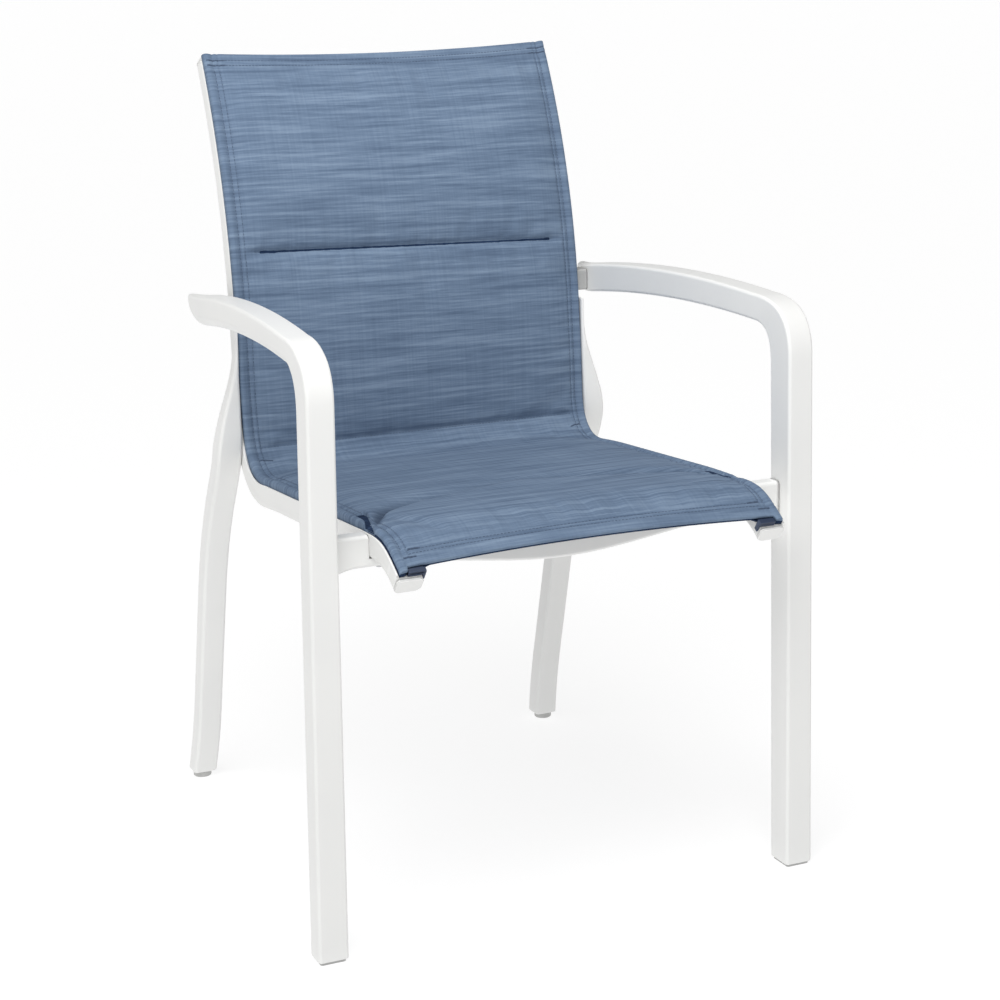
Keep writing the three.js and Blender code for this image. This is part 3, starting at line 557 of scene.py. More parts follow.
rail_rings = rounded_ends(rail_stretch(CAP_THICKNESS + FIT, SLING_LENGTH - CAP_THICKNESS - FIT), RAIL_ROUND)
wall_rings = rail_sweep(
    RAIL_OUTER - WALL_THICKNESS / 2 + WALL_SINK,
    WALL_THICKNESS,
    CAP_THICKNESS + FIT,
    WALL_END,
    lambda along: -wall_height(along),
    lambda along: RAIL_TOP + WALL_ROOT + wall_height(along),
    WALL_RADII,
)
front_cap_rings = rounded_ends(rail_stretch(0, CAP_THICKNESS, CAP_RING_SPACING), CAP_ROUND)
top_cap_start = SLING_LENGTH - CAP_THICKNESS
top_cap_rings = rounded_ends(rail_stretch(top_cap_start, SLING_LENGTH, CAP_RING_SPACING), CAP_ROUND)
for word, side in SIDES:
    for part, rings in (
        ("sling_rail", rail_rings),
        ("rail_front_cap", front_cap_rings),
        ("rail_top_cap", top_cap_rings),
    ):
        shape = "tube" if part == "sling_rail" else "cover"
        piece = moulded(f"{part}_{word}_{shape}", [rings], side)
        if part == "sling_rail":
            combined(piece, moulded("wall", [wall_rings], side), "UNION")
        fitted(piece, white_resin, "white_frame", f"{part}_{word}")


# Rear legs. White mouldings with rounded corners, screwed to the outer faces of the rails: each
# splays at the foot, bends at the knee and thins into a blade that lies beside the rail.
REAR_FOOT_HEIGHT = 8.0
REAR_FOOT_Y = SEAT_DEPTH + 172.0
REAR_FOOT_DEPTH = 27.0
REAR_FOOT_SPLAY = 4.4
REAR_SPLAY_HEIGHT = 100.0
REAR_LEG_WIDTH = 28.6
REAR_LEG_DEPTH = 25.0
REAR_MEET = (SEAT_DEPTH + 17.0, SEAT_HEIGHT - 1.5)
REAR_KNEE = (SEAT_DEPTH + 87.0, SEAT_HEIGHT - 114.5)
REAR_LEG_TOP = (SEAT_DEPTH + 14.5, ARM_HEIGHT - 49.0)
REAR_CUTS = (70.0, 30.0)
BLADE_DEPTH = 14.0
BLADE_THICKNESS = 3.6
BLADE_LENGTH = 20.0
REAR_LEG_CORNER = 4.0
REAR_END_ROUND = 1.0
REAR_RINGS = 120


def rear_leg_rings():
    corners = [(REAR_FOOT_Y, REAR_FOOT_HEIGHT), REAR_KNEE, REAR_MEET, REAR_LEG_TOP]
    points, _ = rounded_line(corners, REAR_CUTS)
    ways = np.gradient(points, axis=0)
    ways /= np.linalg.norm(ways, axis=1)[:, None]
    rings = []
    for at in np.linspace(0, len(points) - 1, REAR_RINGS).astype(int):
        (y, z), (way_y, way_z) = points[at], ways[at]
        splay = REAR_FOOT_SPLAY * max(0, 1 - z / REAR_SPLAY_HEIGHT) ** 2
        blade = eased(z, REAR_MEET[1], REAR_LEG_TOP[1] - BLADE_LENGTH)
        width = between(REAR_LEG_WIDTH, BLADE_THICKNESS, blade)
        inner = narrowed(RAIL_OUTER, z) + FIT + splay
        at_foot = max(0, 1 - (z - REAR_FOOT_HEIGHT) / REAR_SPLAY_HEIGHT)
        way = np.array([0, between(way_z, 1, at_foot), between(-way_y, 0, at_foot)])
        depth = between(between(REAR_LEG_DEPTH, REAR_FOOT_DEPTH, at_foot), BLADE_DEPTH, blade)
        centre = np.array([inner + width / 2, y, z])
        radii = (REAR_LEG_CORNER,) * 4
        rings.append(section(centre, ACROSS, way / np.linalg.norm(way), width, depth, radii))
    return rings


rear_rings = rounded_ends(rear_leg_rings(), REAR_END_ROUND)
for word, side in SIDES:
    piece = moulded(f"rear_leg_{word}_moulding", [rear_rings], side)
    fitted(piece, white_resin, "white_frame", f"rear_leg_{word}")


# Front crossbar. A white moulding between the front legs, flush with their rear faces, bowed down
# under the sling's hem and flared where it meets each leg, with a saddle cut in it for each rail.
BAR_DEPTH = 20.0
BAR_UNDERSIDE = SEAT_HEIGHT - 36.5
BAR_END_HEIGHT = 33.0
BAR_MIDDLE_HEIGHT = 22.0
BAR_BOW = 17.5
BAR_FLARE = 6.0
BAR_FLARE_REACH = 26.0
BAR_CORNER = 4.0
BAR_RING_SPACING = 4.0
SADDLE_OVERRUN = 2.0
RAIL_INNER = RAIL_OUTER - RAIL_WIDTH
REARWARD = np.array([0.0, 1.0, 0.0])
UPWARD = np.array([0.0, 0.0, 1.0])
BAR_END = side_inner_x(0, BAR_UNDERSIDE + BAR_END_HEIGHT) - FIT
BAR_MIDDLE_Y = leg_depth(BAR_UNDERSIDE + BAR_END_HEIGHT / 2) - BAR_DEPTH / 2


def crossbar_ring(x):
    bow = BAR_BOW * math.cos(math.pi / 2 * min(1, abs(x / RAIL_CENTRE))) ** 2
    flare = BAR_FLARE * max(0, 1 - (BAR_END - abs(x)) / BAR_FLARE_REACH) ** 2
    end_share = eased(abs(x), RAIL_INNER, RAIL_OUTER)
    top = BAR_UNDERSIDE - bow + between(BAR_MIDDLE_HEIGHT, BAR_END_HEIGHT, end_share)
    bottom = BAR_UNDERSIDE - bow - flare
    centre = np.array([x, BAR_MIDDLE_Y, (top + bottom) / 2])
    return section(centre, REARWARD, UPWARD, BAR_DEPTH, top - bottom, (BAR_CORNER,) * 4)


crossbar_rings = [crossbar_ring(x) for x in spaced(-BAR_END, BAR_END, BAR_RING_SPACING)]
crossbar = moulded("front_crossbar_moulding", [crossbar_rings])
crossing = along_y(BAR_MIDDLE_Y)
for _, side in SIDES:
    room = rail_sweep(
        RAIL_CENTRE,
        RAIL_WIDTH + 2 * FIT,
        crossing - BAR_DEPTH,
        crossing + BAR_DEPTH,
        lambda along: -SADDLE_OVERRUN,
        lambda along: RAIL_TOP + rail_depth(along) + FIT + SADDLE_OVERRUN,
        (0.0,) * 4,
    )
    combined(crossbar, moulded("saddle room", [room], side), "DIFFERENCE")
fitted(crossbar, white_resin, "white_frame", "front_crossbar")


# Spreaders. Two white bars bowed away from the sitter, one under the seat and one behind the
# back. A flange at each end is screwed to the rail's inner face, and they keep the sling taut.
SPREADER_HEIGHT = 11.0
SPREADER_DEPTH = 20.0
SPREADER_CORNER = 3.0
FLANGE_THICKNESS = 4.0
FLANGE_LENGTH = 48.0
FLANGE_MARGIN = 3.0
FLANGE_ROUND = 1.5
SPREADER_RINGS = 90
SEAT_SPREADER_BOW = 16.0
BACK_SPREADER_BOW = 20.0
FLANGE_CENTRE = RAIL_INNER - FIT - FLANGE_THICKNESS / 2
SEAT_SPREADER_PLACE = along_y(SEAT_DEPTH - 70.0)
BACK_SPREADER_PLACE = along_height(SEAT_HEIGHT + 260.5)


def rail_middle(along):
    return RAIL_TOP + rail_depth(along) / 2


def spreader(name, crossing, bow):
    up = line_normal(crossing)
    depth_way = np.cross(ACROSS, up)
    rings = []
    for share in np.linspace(-1, 1, SPREADER_RINGS):
        height = -rail_middle(crossing) - bow * (1 - share**2)
        centre = sling_place(share * FLANGE_CENTRE, crossing, height)
        rings.append(section(centre, depth_way, up, SPREADER_DEPTH, SPREADER_HEIGHT, (SPREADER_CORNER,) * 4))
    piece = moulded(f"{name}_moulding", [rings])
    for _, side in SIDES:
        flange = rail_sweep(
            FLANGE_CENTRE,
            FLANGE_THICKNESS,
            crossing - FLANGE_LENGTH / 2,
            crossing + FLANGE_LENGTH / 2,
            lambda along: RAIL_TOP + FLANGE_MARGIN,
            lambda along: rail_depth(along) - 2 * FLANGE_MARGIN,
            (SPREADER_CORNER / 2,) * 4,
        )
        combined(piece, moulded("flange", [rounded_ends(flange, FLANGE_ROUND)], side), "UNION")
    return fitted(piece, white_resin, "white_frame", name)


spreader("seat_spreader", SEAT_SPREADER_PLACE, SEAT_SPREADER_BOW)
spreader("back_spreader", BACK_SPREADER_PLACE, BACK_SPREADER_BOW)


# Arm connectors. A grey resin block on each side fills the gap between rail and armrest, and
# takes the long screw that holds the armrest to the rail.
CONNECTOR_MIDDLE = np.array([0.0, SEAT_DEPTH + 30.0, ARM_HEIGHT - 28.5])
CONNECTOR_DEPTH = 22.0
CONNECTOR_HEIGHT = 25.0
CONNECTOR_CORNER = 3.0
CONNECTOR_END_ROUND = 0.8
CONNECTOR_RING_SPACING = 2.0
grey_resin = resin("grey resin", (0.42, 0.42, 0.41), (0.38, 0.38, 0.375), (0.5, 0.5, 0.49), 0.5, 0.4)

connector_inner = narrowed(RAIL_OUTER, CONNECTOR_MIDDLE[2] - CONNECTOR_HEIGHT / 2) + FIT
connector_outer = side_inner_x(*CONNECTOR_MIDDLE[1:]) + FRAME_OUTER_CORNER
connector_rings = []
for x in spaced(connector_inner, connector_outer, CONNECTOR_RING_SPACING):
    centre = CONNECTOR_MIDDLE + ACROSS * x
    size = (CONNECTOR_DEPTH, CONNECTOR_HEIGHT)
    connector_rings.append(section(centre, REARWARD, UPWARD, *size, (CONNECTOR_CORNER,) * 4))
for word, side in SIDES:
    block_rings = rounded_ends(connector_rings, CONNECTOR_END_ROUND)
    piece = moulded(f"arm_connector_{word}_block", [block_rings], side)
    arm = moulded("arm", [[ring - ACROSS * FIT for ring in side_frame_rings]], side)
    combined(piece, arm, "DIFFERENCE")
    fitted(piece, grey_resin, "grey_resin", f"arm_connector_{word}")


# Foot glides. Grey resin plugs keep the legs' cut ends off the ground: a flat plate under each
# front leg, and a small round foot under each rear leg.
FRONT_GLIDE_INSET = 2.5
FRONT_GLIDE_CORNER = 2.5
FRONT_GLIDE_ROUND = 0.6
REAR_GLIDE_RADIUS = 11.0
GLIDE_STEM_RADIUS = 4.0
GLIDE_STEM_LENGTH = 14.0


def turned(centre, way, profile, sides=32):
    """Rings of a round body from its profile of radius and place along its way."""
    way = np.asarray(way, float)
    first = np.cross(way, ACROSS if abs(way[0]) < 0.9 else UPWARD)
    first /= np.linalg.norm(first)
    second = np.cross(way, first)
    rings = []
    for radius, place in profile:
        angles = np.linspace(0, 2 * math.pi, sides, endpoint=False)
        spokes = np.outer(np.cos(angles), first) + np.outer(np.sin(angles), second)
        rings.append(centre + way * place + spokes * radius)
    return rings


front_glide_width = LEG_FOOT_OUTER - LEG_FOOT_INNER - 2 * FRONT_GLIDE_INSET
front_glide_depth = LEG_FOOT_DEPTH - 2 * FRONT_GLIDE_INSET
front_glide_radii = (FRAME_OUTER_CORNER - FRONT_GLIDE_INSET, *(FRONT_GLIDE_CORNER,) * 3)
front_glide_middle = np.array([(LEG_FOOT_INNER + LEG_FOOT_OUTER) / 2, LEG_FOOT_DEPTH / 2, 0.0])
front_glide_rings = [
    section(
        front_glide_middle + UPWARD * z,
        ACROSS,
        REARWARD,
        front_glide_width,
        front_glide_depth,
        front_glide_radii,
    )
    for z in np.linspace(0, FRONT_GLIDE_HEIGHT, 4)
]
rear_glide_x = RAIL_OUTER + FIT + REAR_FOOT_SPLAY + REAR_LEG_WIDTH / 2
rear_glide_top = REAR_FOOT_HEIGHT - FIT
rear_glide_profile = [
    (0.5, 0.0),
    (REAR_GLIDE_RADIUS - 2.0, 0.0),
    (REAR_GLIDE_RADIUS - 0.9, 0.4),
    (REAR_GLIDE_RADIUS - 0.2, 1.2),
    (REAR_GLIDE_RADIUS, 2.2),
    (REAR_GLIDE_RADIUS, rear_glide_top - 0.6),
    (REAR_GLIDE_RADIUS - 0.6, rear_glide_top),
    (GLIDE_STEM_RADIUS, rear_glide_top),
    (GLIDE_STEM_RADIUS, rear_glide_top + GLIDE_STEM_LENGTH),
    (0.5, rear_glide_top + GLIDE_STEM_LENGTH),
]
for word, side in SIDES:
    piece = moulded(f"front_glide_{word}_plate", [rounded_ends(front_glide_rings, FRONT_GLIDE_ROUND)], side)
    fitted(piece, grey_resin, "grey_resin", f"front_glide_{word}")
    rings = turned(np.array([rear_glide_x, REAR_FOOT_Y, 0.0]), UPWARD, rear_glide_profile)
    piece = moulded(f"rear_glide_{word}_foot", [rings], side)
    fitted(piece, grey_resin, "grey_resin", f"rear_glide_{word}")


# Screws. Stainless pan heads with a hexagon socket, driven from the hidden faces: into the
# legs, armrests, saddles, tenons and flanges, and up through each rail into the sling's bars.
SCREW_RADIUS = 2.4
HEAD_RADIUS = 4.6
SOCKET_RADIUS = 2.1
HEAD_PROFILE = ((0.2, 0.0), (0.0, 0.2), (0.0, 1.0), (0.5, 1.9), (1.4, 2.45), (2.0, 2.6))
SOCKET_PROFILE = ((2.55, 1.0), (1.2, 1.0), (1.2, 0.1))
SCREW_SIDES = 24
BAR_TOP_DEPTH = CLOTH + SOFT_FIT
BAR_WIDTH = 17.0
SLING_HALF = RAIL_OUTER - 2.5
BAR_CENTRE = SLING_HALF - 9.0 - BAR_WIDTH / 2
FLANGE_FACE = RAIL_INNER - FIT - FLANGE_THICKNESS
FLANGE_SCREW_OFFSET = (FLANGE_LENGTH + SPREADER_DEPTH) / 4


def mottled(name, metallic, scale, detail, colours, roughnesses):
    """A finish whose tone and roughness vary together in fine speckles."""
    material, tree, shader = new_material(name)
    shader.inputs["Metallic"].default_value = metallic
    place = tree.nodes.new("ShaderNodeTexCoord").outputs["Object"]
    tone = noise_node(tree, place, scale, detail)
    for label, (low, high) in (("Base Color", colours), ("Roughness", roughnesses)):
        tree.links.new(ramp_node(tree, tone, [(0.3, low), (0.7, high)]), shader.inputs[label])
    return material


steel_tones = (0.42, 0.43, 0.44), (0.6, 0.6, 0.61)
steel = mottled("stainless steel", 1.0, 900.0, 3.0, steel_tones, (0.28, 0.42))


def screw_rings(place, way, length):
    """A pointed shank, a head from its insets and rises, and a hexagon socket sunk into it."""
    place, way = np.asarray(place, float), np.asarray(way, float)
    profile = [(0.2, length), (SCREW_RADIUS, length - SCREW_RADIUS), (SCREW_RADIUS, -FIT)]
    profile += [(HEAD_RADIUS - inset, -FIT - rise) for inset, rise in HEAD_PROFILE]
    rings = turned(place, way, profile, SCREW_SIDES)
    for depth, shrink in SOCKET_PROFILE:
        circle = turned(place, way, [(1.0, -FIT - depth)], SCREW_SIDES)[0]
        centre = circle.mean(axis=0)
        hexagon = []
        for step, point in enumerate(circle):
            turn = math.radians(15 * (step % 4) - 30)
            reach = SOCKET_RADIUS * shrink * math.cos(math.radians(30)) / math.cos(turn)
            hexagon.append(centre + (point - centre) * reach)
        rings.append(np.array(hexagon))
    return rings


def screw_table():
    rows = []

    def from_rail(name, rise, length):
        rows.append((name, sling_place(RAIL_INNER, along_height(SEAT_HEIGHT + rise), -15.0), ACROSS, length))

    def from_flange(name, crossing, offset):
        along = crossing + offset
        rows.append((name, sling_place(FLANGE_FACE, along, -rail_middle(along)), ACROSS, 18.0))

    def from_under(name, along):
        depth = RAIL_TOP + rail_depth(along)
        length = depth - BAR_TOP_DEPTH - BAR_THICKNESS / 2
        rows.append((name, sling_place(BAR_CENTRE, along, -depth), line_normal(along), length))

    from_rail("rear_leg_lower_screw", 16.5, 46.0)
    from_rail("rear_leg_upper_screw", 58.5, 38.0)
    arm_x = narrowed(RAIL_INNER, CONNECTOR_MIDDLE[2])
    rows.append(("arm_screw", CONNECTOR_MIDDLE + ACROSS * arm_x, ACROSS, 56.0))
    rows.append(("saddle_screw", (RAIL_CENTRE, BAR_MIDDLE_Y, BAR_UNDERSIDE), UPWARD, 24.0))
    tenon_z = BAR_UNDERSIDE + BAR_END_HEIGHT / 2
    rows.append(("crossbar_screw", (BAR_END + 7.0, leg_depth(tenon_z), tenon_z), -REARWARD, 15.0))
    from_flange("seat_spreader_front_screw", SEAT_SPREADER_PLACE, -FLANGE_SCREW_OFFSET)
    from_flange("seat_spreader_rear_screw", SEAT_SPREADER_PLACE, FLANGE_SCREW_OFFSET)
    from_flange("back_spreader_lower_screw", BACK_SPREADER_PLACE, -FLANGE_SCREW_OFFSET)
    from_flange("back_spreader_upper_screw", BACK_SPREADER_PLACE, FLANGE_SCREW_OFFSET)
    from_under("sling_bar_seat_screw", along_y(SEAT_DEPTH - 220.0))
    from_under("sling_bar_lower_screw", along_height(SEAT_HEIGHT + 120.5))
    from_under("sling_bar_upper_screw", along_height(SEAT_HEIGHT + 380.5))
    return rows


for name, place, way, length in screw_table():
    rings = screw_rings(place, way, length)
    for word, side in SIDES:
        piece = moulded(f"{name}_{word}_fixing", [rings], side)
        fitted(piece, steel, "screw_steel", f"{name}_{word}")


# Sling bars. Flat aluminium bars in the sling's side sleeves. They are hidden, and stay as the
# frame has them, with the dull finish of drawn strip.
bar_tones = (0.5, 0.51, 0.52), (0.62, 0.63, 0.64)
bar_metal = mottled("drawn aluminium", 1.0, 400.0, 2.0, bar_tones, (0.35, 0.5))
for word, _ in SIDES:
    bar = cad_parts[f"sling_bar_{word}"]
    bar.data.materials.clear()
    bar.data.materials.append(bar_metal)


# Sleeve plugs. A navy moulding closes each side sleeve at the seat's front: a head on the rail's
# top, a lip down the rail's inner face, and a tongue in the sleeve in front of the bar.
HEM_SETBACK = 10.5
PLUG_START = 5.0
PLUG_END = HEM_SETBACK - FIT
PLUG_TOP = 0.9
PLUG_LIP = 2.0
PLUG_LIP_DROP = 14.0
PLUG_ROUND = 0.6
PLUG_RING_SPACING = 1.5
PLUG_CORNER, PLUG_LIP_CORNER, TONGUE_CORNER = 0.8, 0.6, 0.5
TONGUE_REACH = 6.0
FLAP_WIDTH = 9.0


def linear(red, green, blue):
    """A colour given as it looks on screen, from 0 to 255, as a linear colour."""
    shares = [value / 255 for value in (red, green, blue)]
    return tuple(s / 12.92 if s <= 0.04045 else ((s + 0.055) / 1.055) ** 2.4 for s in shares)


navy_resin = resin("navy resin", linear(30, 44, 68), linear(26, 38, 60), linear(46, 62, 90), 0.5, 0.4)
plug_inner = RAIL_INNER - FIT - PLUG_LIP


def plug_stretch(inner, outer, end, top, bottom, corner):
    middle, width = (inner + outer) / 2, outer - inner
    sizes = (lambda along: top, lambda along: bottom - top)
    return rail_sweep(middle, width, PLUG_START, end, *sizes, (corner,) * 4, PLUG_RING_SPACING)


for word, side in SIDES:
    head_sizes = (PLUG_END, PLUG_TOP, RAIL_TOP - SOFT_FIT, PLUG_CORNER)
    head = plug_stretch(plug_inner, SLING_HALF - FLAP_WIDTH, *head_sizes)
    piece = moulded(f"sleeve_plug_{word}_cap", [rounded_ends(head, PLUG_ROUND)], side)
    lip_sizes = (PLUG_END, PLUG_TOP + 1, PLUG_LIP_DROP, PLUG_LIP_CORNER)
    lip = plug_stretch(plug_inner, RAIL_INNER - FIT, *lip_sizes)
    tongue_end = HEM_SETBACK + TONGUE_REACH
    tongue_sizes = (tongue_end, BAR_TOP_DEPTH, BAR_TOP_DEPTH + BAR_THICKNESS, TONGUE_CORNER)
    tongue = plug_stretch(BAR_CENTRE - BAR_WIDTH / 2, BAR_CENTRE + BAR_WIDTH / 2, *tongue_sizes)
    for part in (lip, tongue):
        combined(piece, moulded("plug part", [part], side), "UNION")
    fitted(piece, navy_resin, "navy_resin", f"sleeve_plug_{word}")


# Sling cover. The sitter's side of the sling: woven mesh over thin foam, quilted to the back
# cloth at two seams, the side borders and the hems, so that each panel stands out like a pillow.
FRONT_HEM = HEM_SETBACK + 22.0
TOP_HEM = 21.0
CROWN_HALF = SLING_HALF - 14.0
BACK_HALF = BAR_CENTRE - BAR_WIDTH / 2 - FIT - 8.0
SEAT_SEAM = along_height(SEAT_HEIGHT + 3.5)
MID_SEAM = along_height(SEAT_HEIGHT + 220.5)
PANELS = (
    (FRONT_HEM, SEAT_SEAM, 9.0),
    (SEAT_SEAM, MID_SEAM, 8.0),
    (MID_SEAM, SLING_LENGTH - TOP_HEM, 9.0),
)
BACK_CROWN = 4.0
TOP_EDGE_DIP = 7.0
FRONT_EDGE_DIP = 10.0
SIDE_ROUND = 3.6
END_ROUND = 1.5
FLAP_REACH = 5.0
LIP_WIDTH = 4.0
BORDER_GROOVES = ((SLING_HALF - 10.6, 1.7, 2.1), (SLING_HALF - 16.2, 0.9, 1.5))
BORDER_STITCHES = tuple(line for line, _, _ in BORDER_GROOVES)
HEM_STITCHES = (FRONT_HEM - 7.0, FRONT_HEM - 2.0, SLING_LENGTH - 14.5, SLING_LENGTH - 8.5)
CROSS_SEAMS = ((MID_SEAM, 185.0, 2.8), (SEAT_SEAM, 196.0, 2.2))
SEAM_WIDTH = 4.4
ROLL_LIP_END = 100.0
BACK_SPREAD = 2.2
SPREAD_RISE = (BACK_START + 20, BACK_START + 140)
ASKEW_SHIFT = 1.7
ASKEW_SLOPE = 0.0285
ASKEW_REACH = 110.0
FLAP_FADE = 14.0
CROWN_LOSS_SHARE = 0.8
SIDE_SQUARENESS = 8
END_SQUARENESS = 10


def drawn_in(x, along):
    """Where a place along the cloth comes to lie: its ends dip, its corners have flaps, a seam is askew."""
    middle = 1 - (x / SLING_HALF) ** 2
    front = np.maximum(0, 1 - along / SEAT_DEPTH) ** 2
    top = np.maximum(0, (along - MID_SEAM) / (SLING_LENGTH - MID_SEAM)) ** 2
    flap = eased(np.abs(x), SLING_HALF - FLAP_WIDTH, SLING_HALF - FLAP_WIDTH + 1)
    flap = flap * (1 - eased(along, HEM_SETBACK, HEM_SETBACK + FLAP_FADE))
    askew = (ASKEW_SHIFT + ASKEW_SLOPE * x) * np.exp(-(((along - MID_SEAM) / ASKEW_REACH) ** 2))
    return along + middle * (FRONT_EDGE_DIP * front - TOP_EDGE_DIP * top) - FLAP_REACH * flap - askew


def cloth_place(x, along, height):
    """Places on the sling, which is drawn in at its free ends and covers the rails up the back."""
    spread = 1 + BACK_SPREAD / SLING_HALF * eased(along, *SPREAD_RISE)
    return sling_place(x * spread, drawn_in(x, along), height)


def crown_at(along):
    """The height above its borders that the padding of the panel at each place is cut for."""
    panels = [(along > start) & (along < end) for start, end, _ in PANELS]
    return np.select(panels, [crown - CROWN_LOSS_SHARE * sling_lift(along) for *_, crown in PANELS], 1.0)


def fullness(x, along, half):
    """How full the padding is: nothing on a seam or border and near 1 inside a panel."""
    total = np.zeros(np.broadcast(x, along).shape)
    across = 1 - np.clip(np.abs(x) / half, 0, 1) ** SIDE_SQUARENESS
    for start, end, _ in PANELS:
        share = np.clip(2 * (along - start) / (end - start) - 1, -1, 1)
        total = total + across * (1 - np.abs(share) ** END_SQUARENESS)
    return total


def resampled(values, old, new):
    """Values on an old row of places, smoothly carried to a new row of places, down axis 0."""
    old, new = np.asarray(old), np.asarray(new)
    slopes = np.gradient(values, old, axis=0)
    at = np.clip(np.searchsorted(old, new) - 1, 0, len(old) - 2)
    step = (old[at + 1] - old[at])[:, None]
    t = (new - old[at])[:, None] / step
    h00, h10 = 2 * t**3 - 3 * t**2 + 1, t**3 - 2 * t**2 + t
    h01, h11 = -2 * t**3 + 3 * t**2, t**3 - t**2
    return h00 * values[at] + h10 * step * slopes[at] + h01 * values[at + 1] + h11 * step * slopes[at + 1]


def stretches(marks, spacing):
    """Places in even steps from mark to mark, each mark among them."""
    places = [np.array([marks[0]])]
    for start, end in zip(marks, marks[1:]):
        count = max(1, round((end - start) / spacing))
        places.append(np.linspace(start, end, count + 1)[1:])
    return np.concatenate(places)


def merged(*places, least=0.35):
    """Sorted places with those left out that fall too near the one before."""
    ordered = np.sort(np.concatenate([np.asarray(p, float).ravel() for p in places]))
    kept = [ordered[0]]
    for place in ordered[1:-1]:
        if place - kept[-1] >= least and ordered[-1] - place >= least:
            kept.append(place)
    return np.array([*kept, ordered[-1]])


def slab_faces(across, down):
    """Faces of a closed sheet: an upper grid, a lower grid and the rim between them."""
    layer = across * down
    faces = []
    for j in range(down - 1):
        for i in range(across - 1):
            a, b = j * across + i, (j + 1) * across + i
            faces.append((a, a + 1, b + 1, b))
            faces.append((a + layer, b + layer, b + 1 + layer, a + 1 + layer))
    rim = list(range(across - 1))
    rim += [j * across + across - 1 for j in range(down - 1)]
    rim += [(down - 1) * across + i for i in range(across - 1, 0, -1)]
    rim += [j * across for j in range(down - 1, 0, -1)]
    for a, b in zip(rim, rim[1:] + rim[:1]):
        faces.append((a, a + layer, b + layer, b))
    return faces


def cloth_piece(name, x, along, upper, lower, painted_shade_share=0.0):
    """A closed sheet between two heights over a grid, which keeps each place's threads for the weave and its
    share of painted shade.
    """
    down, across = x.shape
    places = np.concatenate([cloth_place(x, along, height).reshape(-1, 3) for height in (upper, lower)])
    places = places * MM + (0, LEG_FRONT, 0)
    piece = meshed(name, places.tolist(), slab_faces(across, down))
    threads = piece.data.attributes.new("threads", "FLOAT_VECTOR", "POINT")
    flat = np.stack([x, along, 0 * x], axis=-1).reshape(-1, 3) * MM
    threads.data.foreach_set("vector", np.concatenate([flat, flat + (0, 0, 0.01)]).ravel())
    painted_shade = piece.data.attributes.new("painted_shade", "FLOAT", "POINT")
    painted_shade.data.foreach_set("value", np.tile(np.broadcast_to(painted_shade_share, x.shape).ravel(), 2))
    return piece


BLOW_FRAMES = 20
BLOW_SEED = 7
START_SHARE = 0.7
ROUGHENING = 0.12
LEAST_ROUGHENED = 0.5
MARGIN = 0.1
MOST_CROWN_SHARE = 1.06


def blown_heights(columns, rows):
    """Heights of the cover above the sling line, from a cloth simulation of the quilted panels."""
    x, along = np.meshgrid(columns, rows)
    start = fullness(x, along, CROWN_HALF) * crown_at(along)
    draw = np.random.default_rng(BLOW_SEED)
    rough = draw.normal(0, ROUGHENING, start.shape) * (start > LEAST_ROUGHENED)
    blowing = cloth_piece("blown cover", x, along, start * START_SHARE + rough, -CLOTH - start / 2)
    held = blowing.vertex_groups.new(name="held")
    seams = [end for _, end, _ in PANELS]
    on_seam = np.min([np.abs(along - seam) for seam in seams], axis=0) < MARGIN
    outside = (along < FRONT_HEM + MARGIN) | (along > SLING_LENGTH - TOP_HEM)
    outside = outside | (np.abs(x) > CROWN_HALF - MARGIN)
    fixed = np.flatnonzero((on_seam | outside).ravel()).tolist()
    below = range(start.size, 2 * start.size)
    held.add([*fixed, *below], 1.0, "REPLACE")
    cloth = blowing.modifiers.new("cloth", "CLOTH")
    settings = cloth.settings
    settings.quality = 5
    settings.mass = 0.2
    settings.tension_stiffness = settings.compression_stiffness = 25
    settings.shear_stiffness = 12
    settings.bending_stiffness = 1.2
    settings.use_pressure = True
    settings.uniform_pressure_force = 2.4
    settings.vertex_group_mass = "held"
    settings.shrink_min = settings.shrink_max = -0.01
    settings.effector_weights.gravity = 0.0
    cloth.point_cache.frame_start, cloth.point_cache.frame_end = 1, BLOW_FRAMES
    for number in range(1, BLOW_FRAMES + 1):
        bpy.context.scene.frame_set(number)
    graph = bpy.context.evaluated_depsgraph_get()
    mesh = blowing.evaluated_get(graph).to_mesh()
    places = np.empty(len(mesh.vertices) * 3)
    mesh.vertices.foreach_get("co", places)
    places = (places.reshape(-1, 3)[: start.size] - (0, LEG_FRONT, 0)) / MM
    bpy.data.objects.remove(blowing)
    bpy.context.scene.frame_set(1)
    flat = cloth_place(x, along, 0 * x).reshape(-1, 3)
    normals = np.stack([line_normal(a) for a in drawn_in(x, along).ravel()])
    rise = np.einsum("ij,ij->i", places - flat, normals).reshape(start.shape)
    most = crown_at(along) * MOST_CROWN_SHARE
    return most * np.tanh(rise / most)


SLEEVE_RIDGE_PLACE = SLING_HALF - 4.5
SLEEVE_RIDGE_HEIGHT, SLEEVE_RIDGE_WIDTH = 0.7, 3.4
HEM_GROOVE_DEPTH, HEM_GROOVE_WIDTH = 0.7, 1.3
HEM_FADE, SEAM_FADE = 14.0, 6.0
FRONT_GROOVE_SHARE = 0.4
SEAM_PUCKER, HEM_PUCKER, BORDER_PUCKER = 0.55, 0.35, 0.3
PUCKER_REACH, BORDER_PUCKER_REACH, PUCKER_START = 9.0, 8.0, 2.0
FOLD_LINE = (
    (0, 210), (45, 197), (74, 184), (100, 176), (119, 171),
    (140, 161), (160, 150), (177, 137), (192, 116), (210, 76),
)
FOLD_DEPTH = ((0, 1.5), (50, 2.6), (85, 4.0), (106, 5.5), (140, 7.5), (176, 8.0), (188, 7.0), (200, 0))
FOLD_FRONT_WIDTH, FOLD_REAR_WIDTH = 7.0, 15.0
